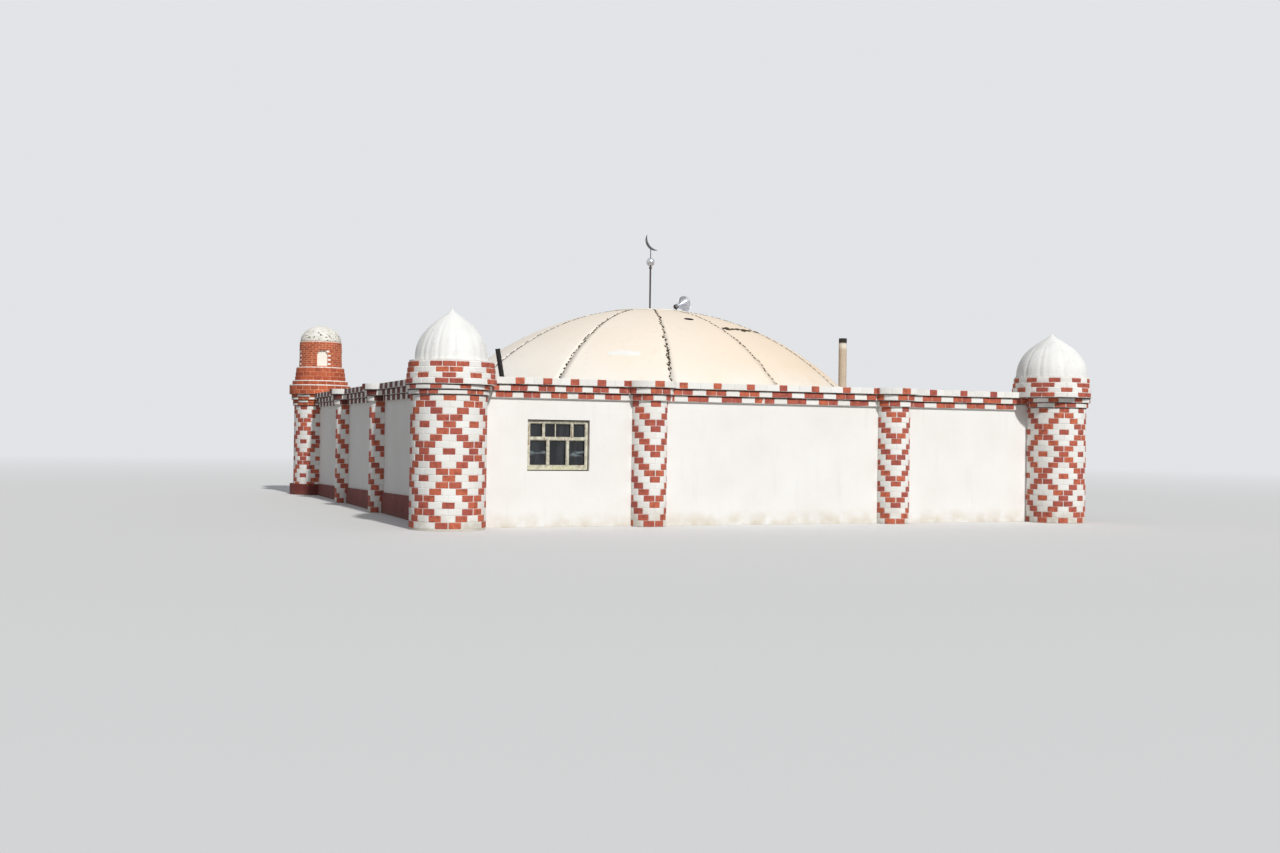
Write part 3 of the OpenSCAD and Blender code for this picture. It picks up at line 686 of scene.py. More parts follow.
# Each onion dome is white painted sheet, bent over a frame and drawn together at the tip.
# The sheet has buckled into soft upright folds, and rain has left grey streaks in them.
def mesh_piece(name, points, faces, finish, smooth=None):
    """A new piece from its points and faces, riding on the building."""
    mesh = bpy.data.meshes.new(name)
    mesh.from_pydata([tuple(p) for p in points], [], faces)
    mesh.materials.append(finish.material)
    mesh.polygons.foreach_set("use_smooth", smooth or [False] * len(faces))
    mesh.update()
    piece = new_object(name, mesh)
    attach(piece, "root")
    return piece


def turned_piece(name, profile, turns, centre, finish, bulge):
    """A closed body turned from its profile of (radius, height); bulge alters the radius."""
    points = []
    for radius, z in profile:
        for i in range(turns):
            angle = 2 * math.pi * i / turns
            grown = bulge(radius, z, angle)
            points.append((centre[0] + grown * math.cos(angle), centre[1] + grown * math.sin(angle), z))
    last = len(points) - turns
    faces = ring_faces(0, len(profile), turns)
    faces += [list(reversed(range(turns))), list(range(last, len(points)))]
    return mesh_piece(name, points, faces, finish, [True] * len(faces))


white_sheet = Finish("white_painted_sheet", roughness=0.6)
dulled = white_sheet.patches(0.5, 0.4, 0.7, detail=4)
sheet_coat = white_sheet.over(rgb(241, 241, 238), rgb(233, 233, 230), dulled)
streaky = white_sheet.patches(0.045, 0.56, 0.72, detail=4, squeeze=(1, 1, 0.1))
streaky = white_sheet.times(streaky, white_sheet.patches(0.45, 0.48, 0.66))
sheet_coat = white_sheet.over(sheet_coat, rgb(168, 164, 164), white_sheet.times(streaky, 0.75))
rust_specks = white_sheet.patches(0.045, 0.745, 0.765, detail=3)
sheet_coat = white_sheet.over(sheet_coat, rgb(98, 88, 84), rust_specks)
white_sheet.colour(sheet_coat)
white_sheet.bumps(0.2, 0.004)
white_sheet.bumps(0.02, 0.0006)


def onion(node, seed, creases):
    """The folded sheet of one onion dome. Creases are the directions of its deepest folds."""
    low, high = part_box(node)
    foot_r, rise = (high.x - low.x) / 2, high.z - low.z
    levels, turns = 40, 192
    chance = random.Random(seed)
    folds = []
    for _ in range(20):
        middle = chance.uniform(-math.pi, math.pi)
        folds.append((middle, chance.uniform(0.03, 0.08), chance.uniform(0.003, 0.010)))
    folds += [(math.radians(crease), 0.045, 0.015) for crease in creases]
    profile = [(foot_r * 0.985, low.z), (foot_r, low.z + 0.004), (foot_r, low.z + 0.022)]
    for i in range(1, levels):
        t = i / levels
        share = (1 - t ** 2.25) * (1 - 0.85 * t ** 8)
        profile.append((foot_r * max(share, 0.012), low.z + rise * t))
    profile.append((0.006, high.z))

    def buckled(radius, z, angle):
        t = (z - low.z) / rise
        hollow = 0.004
        for middle, wide, deep in folds:
            away = (angle - middle + math.pi) % (2 * math.pi) - math.pi
            hollow += deep * math.exp(-(away / wide) ** 2) * (1 - t) ** 0.5
        wave = 0.005 * math.sin(3 * angle + 4 * z) + 0.003 * math.sin(5 * angle - 6 * z)
        return max(0.004, radius - min(1.0, radius / foot_r * 1.6) * (hollow + wave * min(1.0, 4 * t)))

    centre = middle_of(low, high)
    piece = turned_piece(node + "_sheet", profile, turns, centre, white_sheet, buckled)
    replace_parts(piece, node)


onion("front_left_onion", 61, creases=(-154, -126, -99))
onion("front_right_onion", 62, creases=(-173, -147, -108))
onion("back_right_onion", 63, creases=(26, 54, 81))


# The minaret's collar, drum and lantern are left as red brick with thin pale joints, and
# each stage is edged with a white line. The corbel rings under them are painted in turns.
bare_brick = Finish("bare_red_brick", roughness=0.88)
fired = bare_brick.over(rgb(196, 98, 62), rgb(156, 72, 48), bare_brick.each())
sandy = bare_brick.patches(0.06, 0.5, 0.75, detail=5)
bare_brick.colour(bare_brick.over(fired, rgb(214, 132, 92), bare_brick.times(sandy, 0.6)))
bare_brick.bumps(0.02, 0.004, detail=6)

minaret_centre = middle_of(*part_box("minaret_drum"))
minaret_zero = -94
white_line_h = 0.030
minaret_ring_h = 0.174
bare_bed = 0.003
collar_h, collar_step_r = 0.29, 0.835
drum_r, drum_top_r = 0.76, 0.71
lantern_r, lantern_top_r = 0.655, 0.63
lantern_bed, lantern_brick_l = 0.002, brick_l * 0.75
niche_w, niche_up, niche_h = 0.31, 0.04, 0.50
niche_wall_r, niche_edge_r = 0.606, 0.612
tooth_turn = 9

pink_mortar = Finish("brick_dust_mortar", roughness=0.92)
dusted = pink_mortar.patches(0.2, 0.35, 0.7, detail=5)
dust = pink_mortar.over(rgb(206, 134, 104), rgb(230, 172, 142), dusted)
squares = []
for axis, middle in zip("XY", minaret_centre):
    away = pink_mortar.joined("SUBTRACT", pink_mortar.along(axis), middle)
    squares.append(pink_mortar.joined("POWER", away, 2.0))
from_axis = pink_mortar.joined("POWER", pink_mortar.joined("ADD", *squares), 0.5)
in_niche = pink_mortar.between(from_axis, niche_edge_r, niche_wall_r)
pink_mortar.colour(pink_mortar.over(dust, rgb(244, 240, 230), in_niche))
pink_mortar.bumps(0.02, 0.003, detail=5)


def stage_bricks(pile, low, high, radius, top_r, rows):
    """One stage of the minaret in bare brick, with a white line along its top edge."""
    brick_top = high - white_line_h
    rise = (brick_top - low) / rows
    count = round(2 * math.pi * radius / brick_l)
    for row in range(rows):
        at = radius + (top_r - radius) * row / rows
        foot = low + row * rise
        start = row % 2 * 180 / count
        stops = shared_out(start, start + 360, count, RED)
        round_course(pile, minaret_centre, at, foot + bare_bed, foot + rise - bare_bed, stops)
    white_line(pile, minaret_centre, top_r, brick_top - joint / 2, high + joint / 2, proud=0.009)


collar_low, collar_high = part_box("minaret_collar")
collar_pile = Bricks(41, red=bare_brick)
half_ring_h = minaret_ring_h / 2
for level, stretches in enumerate((spaced(-60, 46, 72), spaced(-75, 28, 60))):
    ring_r = shaft_r + ring_out * (level + 1)
    for half in (0, 1):
        half_low = collar_low.z + level * minaret_ring_h + half * half_ring_h
        half_turned = [(start + 30 * half, end + 30 * half) for start, end in stretches]
        ring_bricks(collar_pile, minaret_centre, ring_r, half_low, half_low + half_ring_h, half_turned)
collar_foot = collar_low.z + 2 * minaret_ring_h
collar_r = collar_high.x - minaret_centre[0]
stage_bricks(collar_pile, collar_foot, collar_foot + collar_h, collar_r, collar_r, 2)
stage_bricks(collar_pile, collar_foot + collar_h, collar_high.z, collar_step_r, collar_step_r, 1)
collar_pile.build("minaret_collar_bricks")

drum_low, drum_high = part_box("minaret_drum")
drum_pile = Bricks(42, red=bare_brick)
stage_bricks(drum_pile, drum_low.z, drum_high.z, drum_r, drum_top_r, 3)
drum_pile.build("minaret_drum_bricks")

lantern_low, lantern_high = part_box("minaret_lantern")
lantern_pile = Bricks(43, red=bare_brick)
lantern_rows = 12
line_low = lantern_high.z - white_line_h
lantern_rise = (line_low - lantern_low.z) / lantern_rows
arch_spring = niche_up + niche_h - niche_w / 2


def niche_half(up):
    """Half the width of the round-headed niches, at a height up the lantern."""
    if up > niche_up + niche_h or up < niche_up:
        return 0
    if up > arch_spring:
        return math.sqrt(max(0, (niche_w / 2) ** 2 - (up - arch_spring) ** 2))
    return niche_w / 2


for row in range(lantern_rows):
    at = lantern_r + (lantern_top_r - lantern_r) * (row + 0.5) / lantern_rows
    bottom = lantern_low.z + row * lantern_rise
    top = bottom + lantern_rise
    opening = niche_half((row + 0.75) * lantern_rise)
    open_turn = math.degrees(math.asin(opening / at))
    for quarter in range(4):
        start = minaret_zero + quarter * 90 + open_turn
        end = minaret_zero + (quarter + 1) * 90 - open_turn
        count = max(1, round(math.radians(end - start) * at / lantern_brick_l))
        if row % 2 and opening:
            tooth = (start, start + tooth_turn, WHITE)
            round_course(lantern_pile, minaret_centre, at, bottom, top, [tooth], proud=0.008)
            start += tooth_turn
        shift = 0 if opening else row % 2 * (end - start) / count / 2
        stops = shared_out(start + shift, end + shift, count, RED)
        low, high = bottom + lantern_bed, top - lantern_bed
        round_course(lantern_pile, minaret_centre, at, low, high, stops)
white_line(lantern_pile, minaret_centre, lantern_top_r, line_low, lantern_high.z, proud=0.006)
lantern_pile.build("minaret_lantern_bricks")
for stage in ("minaret_collar", "minaret_drum", "minaret_lantern"):
    dress(stage, pink_mortar)


# The cap over the lantern is one round of white plaster on a former, pitted by frost all
# over and most of all in its lower half, with a rolled edge.
pitted_plaster = Finish("pitted_plaster", roughness=0.85)
cap_low, cap_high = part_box("minaret_cap")
chalk = pitted_plaster.patches(0.3, 0.4, 0.7, detail=4)
plaster = pitted_plaster.over(rgb(234, 232, 224), rgb(222, 219, 208), chalk)
pits = pitted_plaster.patches(0.06, 0.585, 0.63, detail=2)
lower_half = pitted_plaster.below(cap_high.z - 0.1, cap_low.z + 0.2)
pits = pitted_plaster.times(pits, lower_half)
pitted_plaster.colour(pitted_plaster.over(plaster, rgb(96, 88, 74), pits))
pitted_plaster.relief(pits, -0.01)
pitted_plaster.bumps(0.1, 0.006)


def minaret_cap():
    """The plaster cap, rounded over a former and dented."""
    foot_r, rise = (cap_high.x - cap_low.x) / 2, cap_high.z - cap_low.z
    levels = 24
    profile = [(foot_r * 0.98, cap_low.z)]
    for i in range(levels):
        angle = math.pi / 2 * i / levels
        profile.append((foot_r * math.cos(angle), cap_low.z + 0.003 + (rise - 0.003) * math.sin(angle)))
    profile.append((0.01, cap_high.z))

    def dented(radius, z, angle):
        dents = 0.004 * math.sin(5 * angle + 11 * z) + 0.003 * math.sin(9 * angle - 17 * z)
        return max(0.004, radius + min(1.0, radius / 0.2) * (dents - 0.007))

    centre = middle_of(cap_low, cap_high)
    piece = turned_piece("minaret_cap_shell", profile, 128, centre, pitted_plaster, dented)
    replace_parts(piece, "minaret_cap")


minaret_cap()


# The flat roof is a cement skin over its slab, and the ring that carries the dome is cast
# on it. Both have weathered grey, with darker damp patches and fine cracks.
roof_skin = Finish("roof_skin", roughness=0.92)
damp = roof_skin.patches(1.4, 0.4, 0.68, detail=5)
skin = roof_skin.over(rgb(168, 162, 152), rgb(132, 127, 120), damp)
gritty = roof_skin.patches(0.03, 0.35, 0.75, detail=5)
roof_skin.colour(roof_skin.over(skin, rgb(186, 180, 168), roof_skin.times(gritty, 0.5)))
roof_skin.bumps(0.8, 0.01)
roof_skin.bumps(0.02, 0.002, detail=5)
for deck in ("roof_slab", "roof_ring"):
    dress(deck, roof_skin)


# The dome is cream painted steel sheet in twelve gores, butted along their seams. The
# seams are dabbed all the way down with dark mastic, wherever they once let rain in.
disc_low, disc_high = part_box("dome_cap")
disc_t, dome_r = 0.020, 7.577
dome_x, dome_y = middle_of(disc_low, disc_high)
dome_centre = Vector((dome_x, dome_y, disc_high.z - disc_t - dome_r))
foot_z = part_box("dome_gores_front")[0].z
foot_down = math.degrees(math.acos((foot_z - dome_centre.z) / dome_r))
disc_down = math.degrees(math.asin((disc_high.x - disc_low.x) / 2 / dome_r))
first_seam, gore_turn = 13.5, 30
sheet_t, seam_half, sag = 0.03, 0.002, 0.004
white_side_x, cream_side_x = -4.5, 3.5
chalk_top, chalk_foot = 3.75, 2.95

cream_sheet = Finish("cream_painted_sheet", roughness=0.7)
bleached = cream_sheet.patches(1.8, 0.36, 0.66, detail=4)
creamier = cream_sheet.between(cream_sheet.along("X"), white_side_x, cream_side_x)
cream = cream_sheet.over(rgb(253, 248, 239), rgb(233, 209, 181), creamier)
cream = cream_sheet.over(cream, rgb(243, 228, 207), cream_sheet.times(bleached, 0.45))
chalky = cream_sheet.below(chalk_top, chalk_foot)
chalky = cream_sheet.times(chalky, cream_sheet.patches(0.5, 0.25, 0.6, detail=5))
cream = cream_sheet.over(cream, rgb(240, 237, 230), chalky)
washed = cream_sheet.patches(0.16, 0.6, 0.8, detail=5, squeeze=(1, 1, 0.5))
cream = cream_sheet.over(cream, rgb(214, 192, 166), cream_sheet.times(washed, 0.3))
cream_sheet.colour(cream)
cream_sheet.bumps(0.9, 0.008)
cream_sheet.bumps(0.03, 0.0005)

pale_cap = Finish("pale_cap_sheet", roughness=0.65)
weathered = pale_cap.patches(0.3, 0.35, 0.7, detail=4)
pale_cap.colour(pale_cap.over(rgb(242, 240, 234), rgb(234, 228, 216), weathered))
pale_cap.bumps(0.2, 0.004)
dress("dome_cap", pale_cap)


def on_dome(down, degrees, proud=0.0):
    """The spot at an angle down from the dome's top, in a direction, and the way out there."""
    a, b = math.radians(down), math.radians(degrees)
    out = Vector((math.sin(a) * math.cos(b), math.sin(a) * math.sin(b), math.cos(a)))
    return dome_centre + out * (dome_r + proud), out


def spot_on_sheet(down, degrees):
    """A spot on the dome, with the ways out, across and down the sheet there."""
    middle, out = on_dome(down, degrees)
    across = Vector((-math.sin(math.radians(degrees)), math.cos(math.radians(degrees)), 0))
    return middle, out, across, across.cross(out).normalized()


def gore_sheets(name, node, first):
    """Three gores of sheet side by side, each sagging a little between its seams."""
    points, faces, smooth = [], [], []
    across, rows = 16, 44
    top_down = disc_down - 1
    for gore in range(first, first + 3):
        start = first_seam + gore_turn * gore
        base = len(points)
        for level in (0.0, -sheet_t):
            for i in range(rows + 1):
                down = top_down + (foot_down - top_down) * i / rows
                inset = math.degrees(seam_half / (dome_r * math.sin(math.radians(down))))
                for j in range(across + 1):
                    share = j / across
                    turn = start + inset + (gore_turn - 2 * inset) * share
                    hollow = sag * (1 - (2 * share - 1) ** 2) * min(1, (foot_down - down) / 3)
                    points.append(on_dome(down, turn, level - hollow)[0])
        side = (rows + 1) * (across + 1)
        for i in range(rows):
            for j in range(across):
                a, b = base + i * (across + 1) + j, base + (i + 1) * (across + 1) + j
                faces.append([a, b, b + 1, a + 1])
                faces.append([a + side, a + side + 1, b + side + 1, b + side])
                smooth += [True, True]
        rim = [base + j for j in range(across + 1)]
        rim += [base + i * (across + 1) + across for i in range(1, rows + 1)]
        rim += [base + rows * (across + 1) + j for j in range(across - 1, -1, -1)]
        rim += [base + i * (across + 1) for i in range(rows - 1, 0, -1)]
        for here, after in zip(rim, rim[1:] + rim[:1]):
            faces.append([here, after, after + side, here + side])
            smooth.append(False)
    piece = mesh_piece(name, points, faces, cream_sheet, smooth)
    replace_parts(piece, node)


gore_sheets("front_gore_sheets", "dome_gores_front", 7)
gore_sheets("right_gore_sheets", "dome_gores_right", -2)
gore_sheets("back_gore_sheets", "dome_gores_back", 1)
gore_sheets("left_gore_sheets", "dome_gores_left", 4)

mastic = Finish("sealing_mastic", roughness=0.8)
mastic.shader.inputs["Specular IOR Level"].default_value = 0.15
cracked = mastic.patches(0.03, 0.4, 0.7, detail=5)
mastic.colour(mastic.over(rgb(54, 47, 34), rgb(112, 98, 74), mastic.times(cracked, mastic.each())))
mastic.bumps(0.012, 0.004, detail=5)

dab_points, dab_faces = [], []
dab_chance = random.Random(51)


def dab(down, degrees, length, width, twist):
    """One flat dab of mastic with a ragged edge, pressed on the sheet."""
    middle, out, across, fall = spot_on_sheet(down, degrees)
    along = fall * math.cos(twist) + across * math.sin(twist)
    beside = out.cross(along)
    corners = 9
    base = len(dab_points)
    # Height of each ring of corners over the sheet, and its share of the dab's size
    for level, size in ((-0.012, 1.0), (0.005, 0.85), (0.009, 0.45)):
        for i in range(corners):
            angle = 2 * math.pi * i / corners
            ragged = size * dab_chance.uniform(0.75, 1.15) / 2
            spot = middle + along * length * ragged * math.cos(angle)
            spot += beside * width * ragged * math.sin(angle)
            dab_points.append(spot + out * level)
    dab_faces.extend(ring_faces(base, 3, corners))
    dab_faces.append([base + i for i in reversed(range(corners))])
    dab_faces.append([base + 2 * corners + i for i in range(corners)])


def seam_dabs(direction, start, end, thickness):
    """A ragged row of dabs down a seam; thickness is how heavily it was sealed, at most 1."""
    down = start
    while down < end:
        heavy = thickness * (0.6 + 0.4 * math.sin(down * 1.1 + direction) ** 2)
        length = dab_chance.uniform(0.05, 0.10 + 0.12 * heavy)
        width = dab_chance.uniform(0.030, 0.040 + 0.045 * heavy)
        aside = math.degrees(dab_chance.uniform(-0.035, 0.035) / (dome_r * math.sin(math.radians(down))))
        dab(down, direction + aside, length, width, dab_chance.uniform(-0.5, 0.5))
        down += math.degrees((length * 0.6 + dab_chance.uniform(0.0, 0.16 - 0.12 * heavy)) / dome_r)


# How heavily the seams that leaked are sealed, by their direction. The others count half.
seam_weights = {-136.5: 0.75, -106.5: 0.9, -76.5: 0.45, -166.5: 0.35}
for seam in range(12):
    direction = (first_seam + gore_turn * seam + 180) % 360 - 180
    seam_dabs(direction, disc_down + 0.4, foot_down - 0.3, seam_weights.get(direction, 0.5))
seam_dabs(-106.5, 33.5, 41.0, 1.0)
crack_down, crack_start, crack_step = 24.2, -74, 0.85
for step in range(38):
    size = dab_chance.uniform(0.07, 0.15) * (1 if step < 22 else 0.6)
    down = crack_down + dab_chance.uniform(-0.5, 0.5)
    dab(down, crack_start + step * crack_step, size, 1.4 * size, 0.1)
mesh_piece("dome_mastic_dabs", dab_points, dab_faces, mastic)

patch_proud, patch_sunk = 0.004, 0.014
# The vent slit is a shallow dish painted near-black, without specular: painted shade for the dark inside
# of the opening.
vent_painted_shade = Finish("vent_painted_shade", roughness=0.95)
vent_painted_shade.shader.inputs["Specular IOR Level"].default_value = 0.0
inside_patches = vent_painted_shade.patches(0.05, 0.4, 0.7, detail=4)
vent_painted_shade.colour(vent_painted_shade.over(rgb(16, 13, 11), rgb(34, 28, 23), inside_patches))

# A thin pale patch, whiter than the cream sheet round it, lies across one gore.
pale_white_spot = Finish("pale_white_spot", roughness=0.7)
spotty = pale_white_spot.patches(0.2, 0.3, 0.7, detail=4)
pale_white_spot.colour(pale_white_spot.over(rgb(246, 245, 241), rgb(238, 235, 228), spotty))
pale_white_spot.bumps(0.1, 0.001)


def patch(name, down, degrees, length, width, finish):
    """A thin curved patch on the dome, such as a hatch, longer across than down."""
    points = []
    rows, turns = 6, 28
    middle, _, across, fall = spot_on_sheet(down, degrees)
    for ring in range(rows):
        share = 1 - ring / rows
        for i in range(turns):
            angle = 2 * math.pi * i / turns
            flat = middle + across * length / 2 * share * math.cos(angle)
            flat += fall * width / 2 * share * math.sin(angle)
            away = (flat - dome_centre).normalized()
            points.append(dome_centre + away * (dome_r + (patch_proud if ring else -patch_sunk)))
    faces = ring_faces(0, rows, turns, flipped=True)
    faces += [list(reversed(range(len(points) - turns, len(points)))), list(range(turns))]
    mesh_piece(name, points, faces, finish)


patch("dome_vent_slit", 19.2, -88.3, 0.30, 0.20, vent_painted_shade)
patch("dome_pale_patch", 36.0, -120.2, 0.95, 0.26, pale_white_spot)


# The finial is a thin steel rod through the cap disc with a knob near its top. It carries
# a spun aluminium ball, and over that a crescent cut from sheet.
dark_steel = Finish("dark_steel", roughness=0.55, metal=0.6)
rusting = dark_steel.patches(0.04, 0.45, 0.7, detail=5)
dark_steel.colour(dark_steel.over(rgb(70, 68, 70), rgb(104, 82, 68), rusting))
dark_steel.bumps(0.01, 0.0006, detail=4)
for fitting in ("finial_rod", "speaker_stand"):
    dress(fitting, dark_steel)

bright_metal = Finish("spun_aluminium", roughness=0.25, metal=1.0)
hazy = bright_metal.patches(0.05, 0.4, 0.7, detail=5)
bright_metal.colour(bright_metal.over(rgb(214, 215, 218), rgb(178, 180, 184), hazy))
bright_metal.bumps(0.02, 0.0008)
dress("finial_ball", bright_metal)

crescent_metal = Finish("weathered_crescent", roughness=0.5, metal=0.7)
tarnish = crescent_metal.patches(0.05, 0.35, 0.65, detail=5)
crescent_metal.colour(crescent_metal.over(rgb(70, 68, 72), rgb(104, 104, 104), tarnish))
crescent_metal.bumps(0.02, 0.0008)
dress("finial_crescent", crescent_metal)


# The loudspeaker is a spun horn painted grey, screwed to a driver behind it and held over
# the cap disc on a short post. A rolled lip stiffens its mouth, and a plug fills its throat.
grey_metal = Finish("grey_painted_horn", roughness=0.3, metal=0.7)
chalked = grey_metal.patches(0.06, 0.4, 0.7, detail=5)
grey_metal.colour(grey_metal.over(rgb(196, 198, 204), rgb(222, 223, 226), chalked))
grey_metal.bumps(0.02, 0.0006)
dress("speaker_horn", grey_metal)


def aimed(turn, rise):
    """The direction at a turn from +X and a rise over level, both in degrees."""
    turn, rise = math.radians(turn), math.radians(rise)
    level = math.cos(rise)
    return Vector((level * math.cos(turn), level * math.sin(turn), math.sin(rise)))


speaker_at, speaker_aim = Vector((0.8695, -0.3272, 5.5322)), aimed(-75, 8)
half_driver, horn_l, bell_r = 0.065, 0.30, 0.215
lip_t, lip_facets = 0.008, 10


def horn_fitting(name, profile, finish):
    """A ring or plug turned about the horn's axis, from a loop of (along, radius)."""
    side = speaker_aim.cross(Vector((0, 0, 1))).normalized()
    up = side.cross(speaker_aim)
    turns, count = 40, len(profile)
    points = []
    for i in range(turns):
        angle = 2 * math.pi * i / turns
        ray = side * math.cos(angle) + up * math.sin(angle)
        points += [speaker_at + speaker_aim * along + ray * radius for along, radius in profile]
    faces = [[spot % len(points) for spot in face] for face in ring_faces(0, turns + 1, count)]
    mesh_piece(name, points, faces, finish, [True] * len(faces))


mouth = half_driver + horn_l
lip_loop = []
for k in range(lip_facets):
    angle = 2 * math.pi * k / lip_facets
    forward, outward = lip_t * math.cos(angle), lip_t * math.sin(angle)
    lip_loop.append((mouth - lip_t / 2 + forward, bell_r - lip_t / 4 + outward))
horn_fitting("speaker_lip", lip_loop, grey_metal)
band_half, band_edge, band_r, band_inner_r = 0.05, 0.01, 0.066, 0.056
band_flat, band_end_r = band_half - band_edge, band_r - 0.004
band_loop = [(-band_half, band_end_r), (-band_flat, band_r), (band_flat, band_r)]
band_loop += [(band_half, band_end_r), (band_half, band_inner_r), (-band_half, band_inner_r)]
horn_fitting("speaker_driver_band", band_loop, dark_steel)


# The chimney is a fibre cement pipe, pale and rough, blackened round its mouth over a
# paler band. The stovepipe near the front is sheet iron with lapped joints, black with soot.
chimney_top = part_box("chimney_pipe")[1].z
band_low, band_high = chimney_top - 0.34, chimney_top - 0.24
soot_low, soot_high = chimney_top - 0.16, chimney_top - 0.12

pipe_cement = Finish("fibre_cement", roughness=0.9)
fibres = pipe_cement.patches(0.02, 0.35, 0.7, detail=6, squeeze=(1, 1, 0.25))
cement = pipe_cement.over(rgb(212, 194, 172), rgb(184, 166, 146), fibres)
pale_band = pipe_cement.between(pipe_cement.along("Z"), band_low, band_high)
cement = pipe_cement.over(cement, rgb(238, 232, 218), pipe_cement.times(pale_band, 0.8))
sooty_rim = pipe_cement.between(pipe_cement.along("Z"), soot_low, soot_high)
pipe_cement.colour(pipe_cement.over(cement, rgb(46, 42, 38), sooty_rim))
pipe_cement.bumps(0.01, 0.002, detail=6)
dress("chimney_pipe", pipe_cement)

sooty_iron = Finish("sooty_iron", roughness=0.75, metal=0.2)
scaly = sooty_iron.patches(0.05, 0.55, 0.75, detail=6)
sooty_iron.colour(sooty_iron.over(rgb(30, 27, 27), rgb(66, 52, 44), scaly))
sooty_iron.bumps(0.012, 0.001, detail=5)
dress("stovepipe", sooty_iron)


# The windows are old timber frames under flaking paint, set back in the wall with a dark
# gap round them painted near-black as shade. Thin bars part the lights, and the glass is
# dusty in putty beds, over a dark colour painted as the shade of the room behind it.
window_w, frame_deep = 1.37, 0.06
gap_w, gap_set = 0.020, 0.02
stile, rail, bottom_rail = 0.050, 0.055, 0.090
transom_z, transom_low, transom_high = 0.67, 0.025, 0.030
lower_bars = ((0.428, 0.478), (0.862, 0.910))
upper_bars = ((0.334, 0.374), (0.960, 1.002))
thin_bar, thin_bar_set = (0.602, 0.622), 0.012
bead_w, bead_front, bead_back = 0.012, 0.014, 0.034
moss_top, moss_foot = 1.32, 1.22
smear_foot, smear_top, smear_edge = 1.46, 1.60, 0.04
frame_low, frame_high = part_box("window_frames")
window_x = -frame_low.x - window_w / 2

old_paint = Finish("flaking_paint", roughness=0.75)
greyed = old_paint.patches(0.08, 0.35, 0.65, detail=5)
flaked = old_paint.over(rgb(222, 218, 200), rgb(178, 174, 154), greyed)
mossy = old_paint.below(moss_top, moss_foot)
mossy = old_paint.times(mossy, old_paint.patches(0.3, 0.4, 0.6))
flaked = old_paint.over(flaked, rgb(206, 206, 160), old_paint.times(mossy, 0.6))
bare_wood = old_paint.patches(0.06, 0.60, 0.66, detail=6, squeeze=(1, 1, 0.3))
old_paint.colour(old_paint.over(flaked, rgb(168, 142, 110), bare_wood))
old_paint.bumps(0.02, 0.0015, detail=5)

# Painted shade: the strips in the gap round each frame are near-black, with paler cobwebby patches.
gap_shade = Finish("dark_gap", roughness=0.95)
cobwebs = gap_shade.patches(0.02, 0.5, 0.8, detail=5)
gap_shade.colour(gap_shade.over(rgb(36, 32, 28), rgb(84, 78, 70), cobwebs))


def timber(points, faces, low, high, worn=0.004):
    """A squared length of timber with its front edges taken off."""
    base = len(points)
    x0, x1, z0, z1 = low[0], high[0], low[2], high[2]
    front, shoulder, back = low[1], low[1] + worn, high[1]
    for y, inset in ((front, worn), (shoulder, 0), (back, 0)):
        points += [(x0 + inset, y, z0 + inset), (x1 - inset, y, z0 + inset)]
        points += [(x1 - inset, y, z1 - inset), (x0 + inset, y, z1 - inset)]
    faces.append([base, base + 1, base + 2, base + 3])
    faces.append([base + 11, base + 10, base + 9, base + 8])
    faces += ring_faces(base, 3, 4, flipped=True)


def about(points, sign):
    """The points as they are, or turned half round the building where the sign is -1."""
    return [(sign * x, sign * y, z) for x, y, z in points]


def window_members():
    """The thick and thin timbers and the lights as (left, low, right, high) in the frame."""
    w, h = window_w - 2 * gap_w, frame_high.z - frame_low.z - 2 * gap_w
    cross = transom_z - gap_w
    under, over = (bottom_rail, cross - transom_low), (cross + transom_high, h - rail)
    thick = [(0, 0, stile, h), (w - stile, 0, w, h), (stile, h - rail, w - stile, h)]
    thick += [(stile, 0, w - stile, bottom_rail), (stile, under[1], w - stile, over[0])]
    thick += [(left, under[0], right, under[1]) for left, right in lower_bars]
    thick += [(left, over[0], right, over[1]) for left, right in upper_bars]
    thin = [(thin_bar[0], over[0], thin_bar[1], over[1])]
    lights = []
    for bars, (low, high) in ((lower_bars, under), (upper_bars, over)):
        edges = (stile, *bars[0], *bars[1], w - stile)
        lights += [(edges[i], low, edges[i + 1], high) for i in (0, 2, 4)]
    return thick, thin, lights


def window_joinery(name, sign):
    """One window's timber. Sign is 1 at the front and -1 at the back."""
    points, faces = [], []
    corner = frame_low + Vector((gap_w, 0, gap_w))

    def fit(member, front, back, worn):
        left, low, right, high = member
        start = corner + Vector((left, front, low))
        timber(points, faces, start, corner + Vector((right, back, high)), worn)

    thick, thin, lights = window_members()
    for member in thick:
        fit(member, 0, frame_deep, 0.004)
    for member in thin:
        fit(member, thin_bar_set, frame_deep, 0.003)
    for x0, z0, x1, z1 in lights:
        beads = ((x0, z0, x1, z0 + bead_w), (x0, z1 - bead_w, x1, z1),
                 (x0, z0, x0 + bead_w, z1), (x1 - bead_w, z0, x1, z1))
        for bead in beads:
            fit(bead, bead_front, bead_back, 0.003)
    return mesh_piece(name, about(points, sign), faces, old_paint)


def window_gap(name, sign):
    """The dark gap between a window's frame and the plaster round it, painted near-black as shade."""
    points, faces = [], []
    x0, x1, z0, z1 = frame_low.x, frame_low.x + window_w, frame_low.z, frame_high.z
    front, back = frame_low.y + gap_set, frame_low.y + frame_deep
    strips = ((x0, z0, x0 + gap_w, z1), (x1 - gap_w, z0, x1, z1),
              (x0 + gap_w, z0, x1 - gap_w, z0 + gap_w), (x0 + gap_w, z1 - gap_w, x1 - gap_w, z1))
    for left, low, right, high in strips:
        timber(points, faces, (left, front, low), (right, back, high), 0.002)
    mesh_piece(name, about(points, sign), faces, gap_shade)


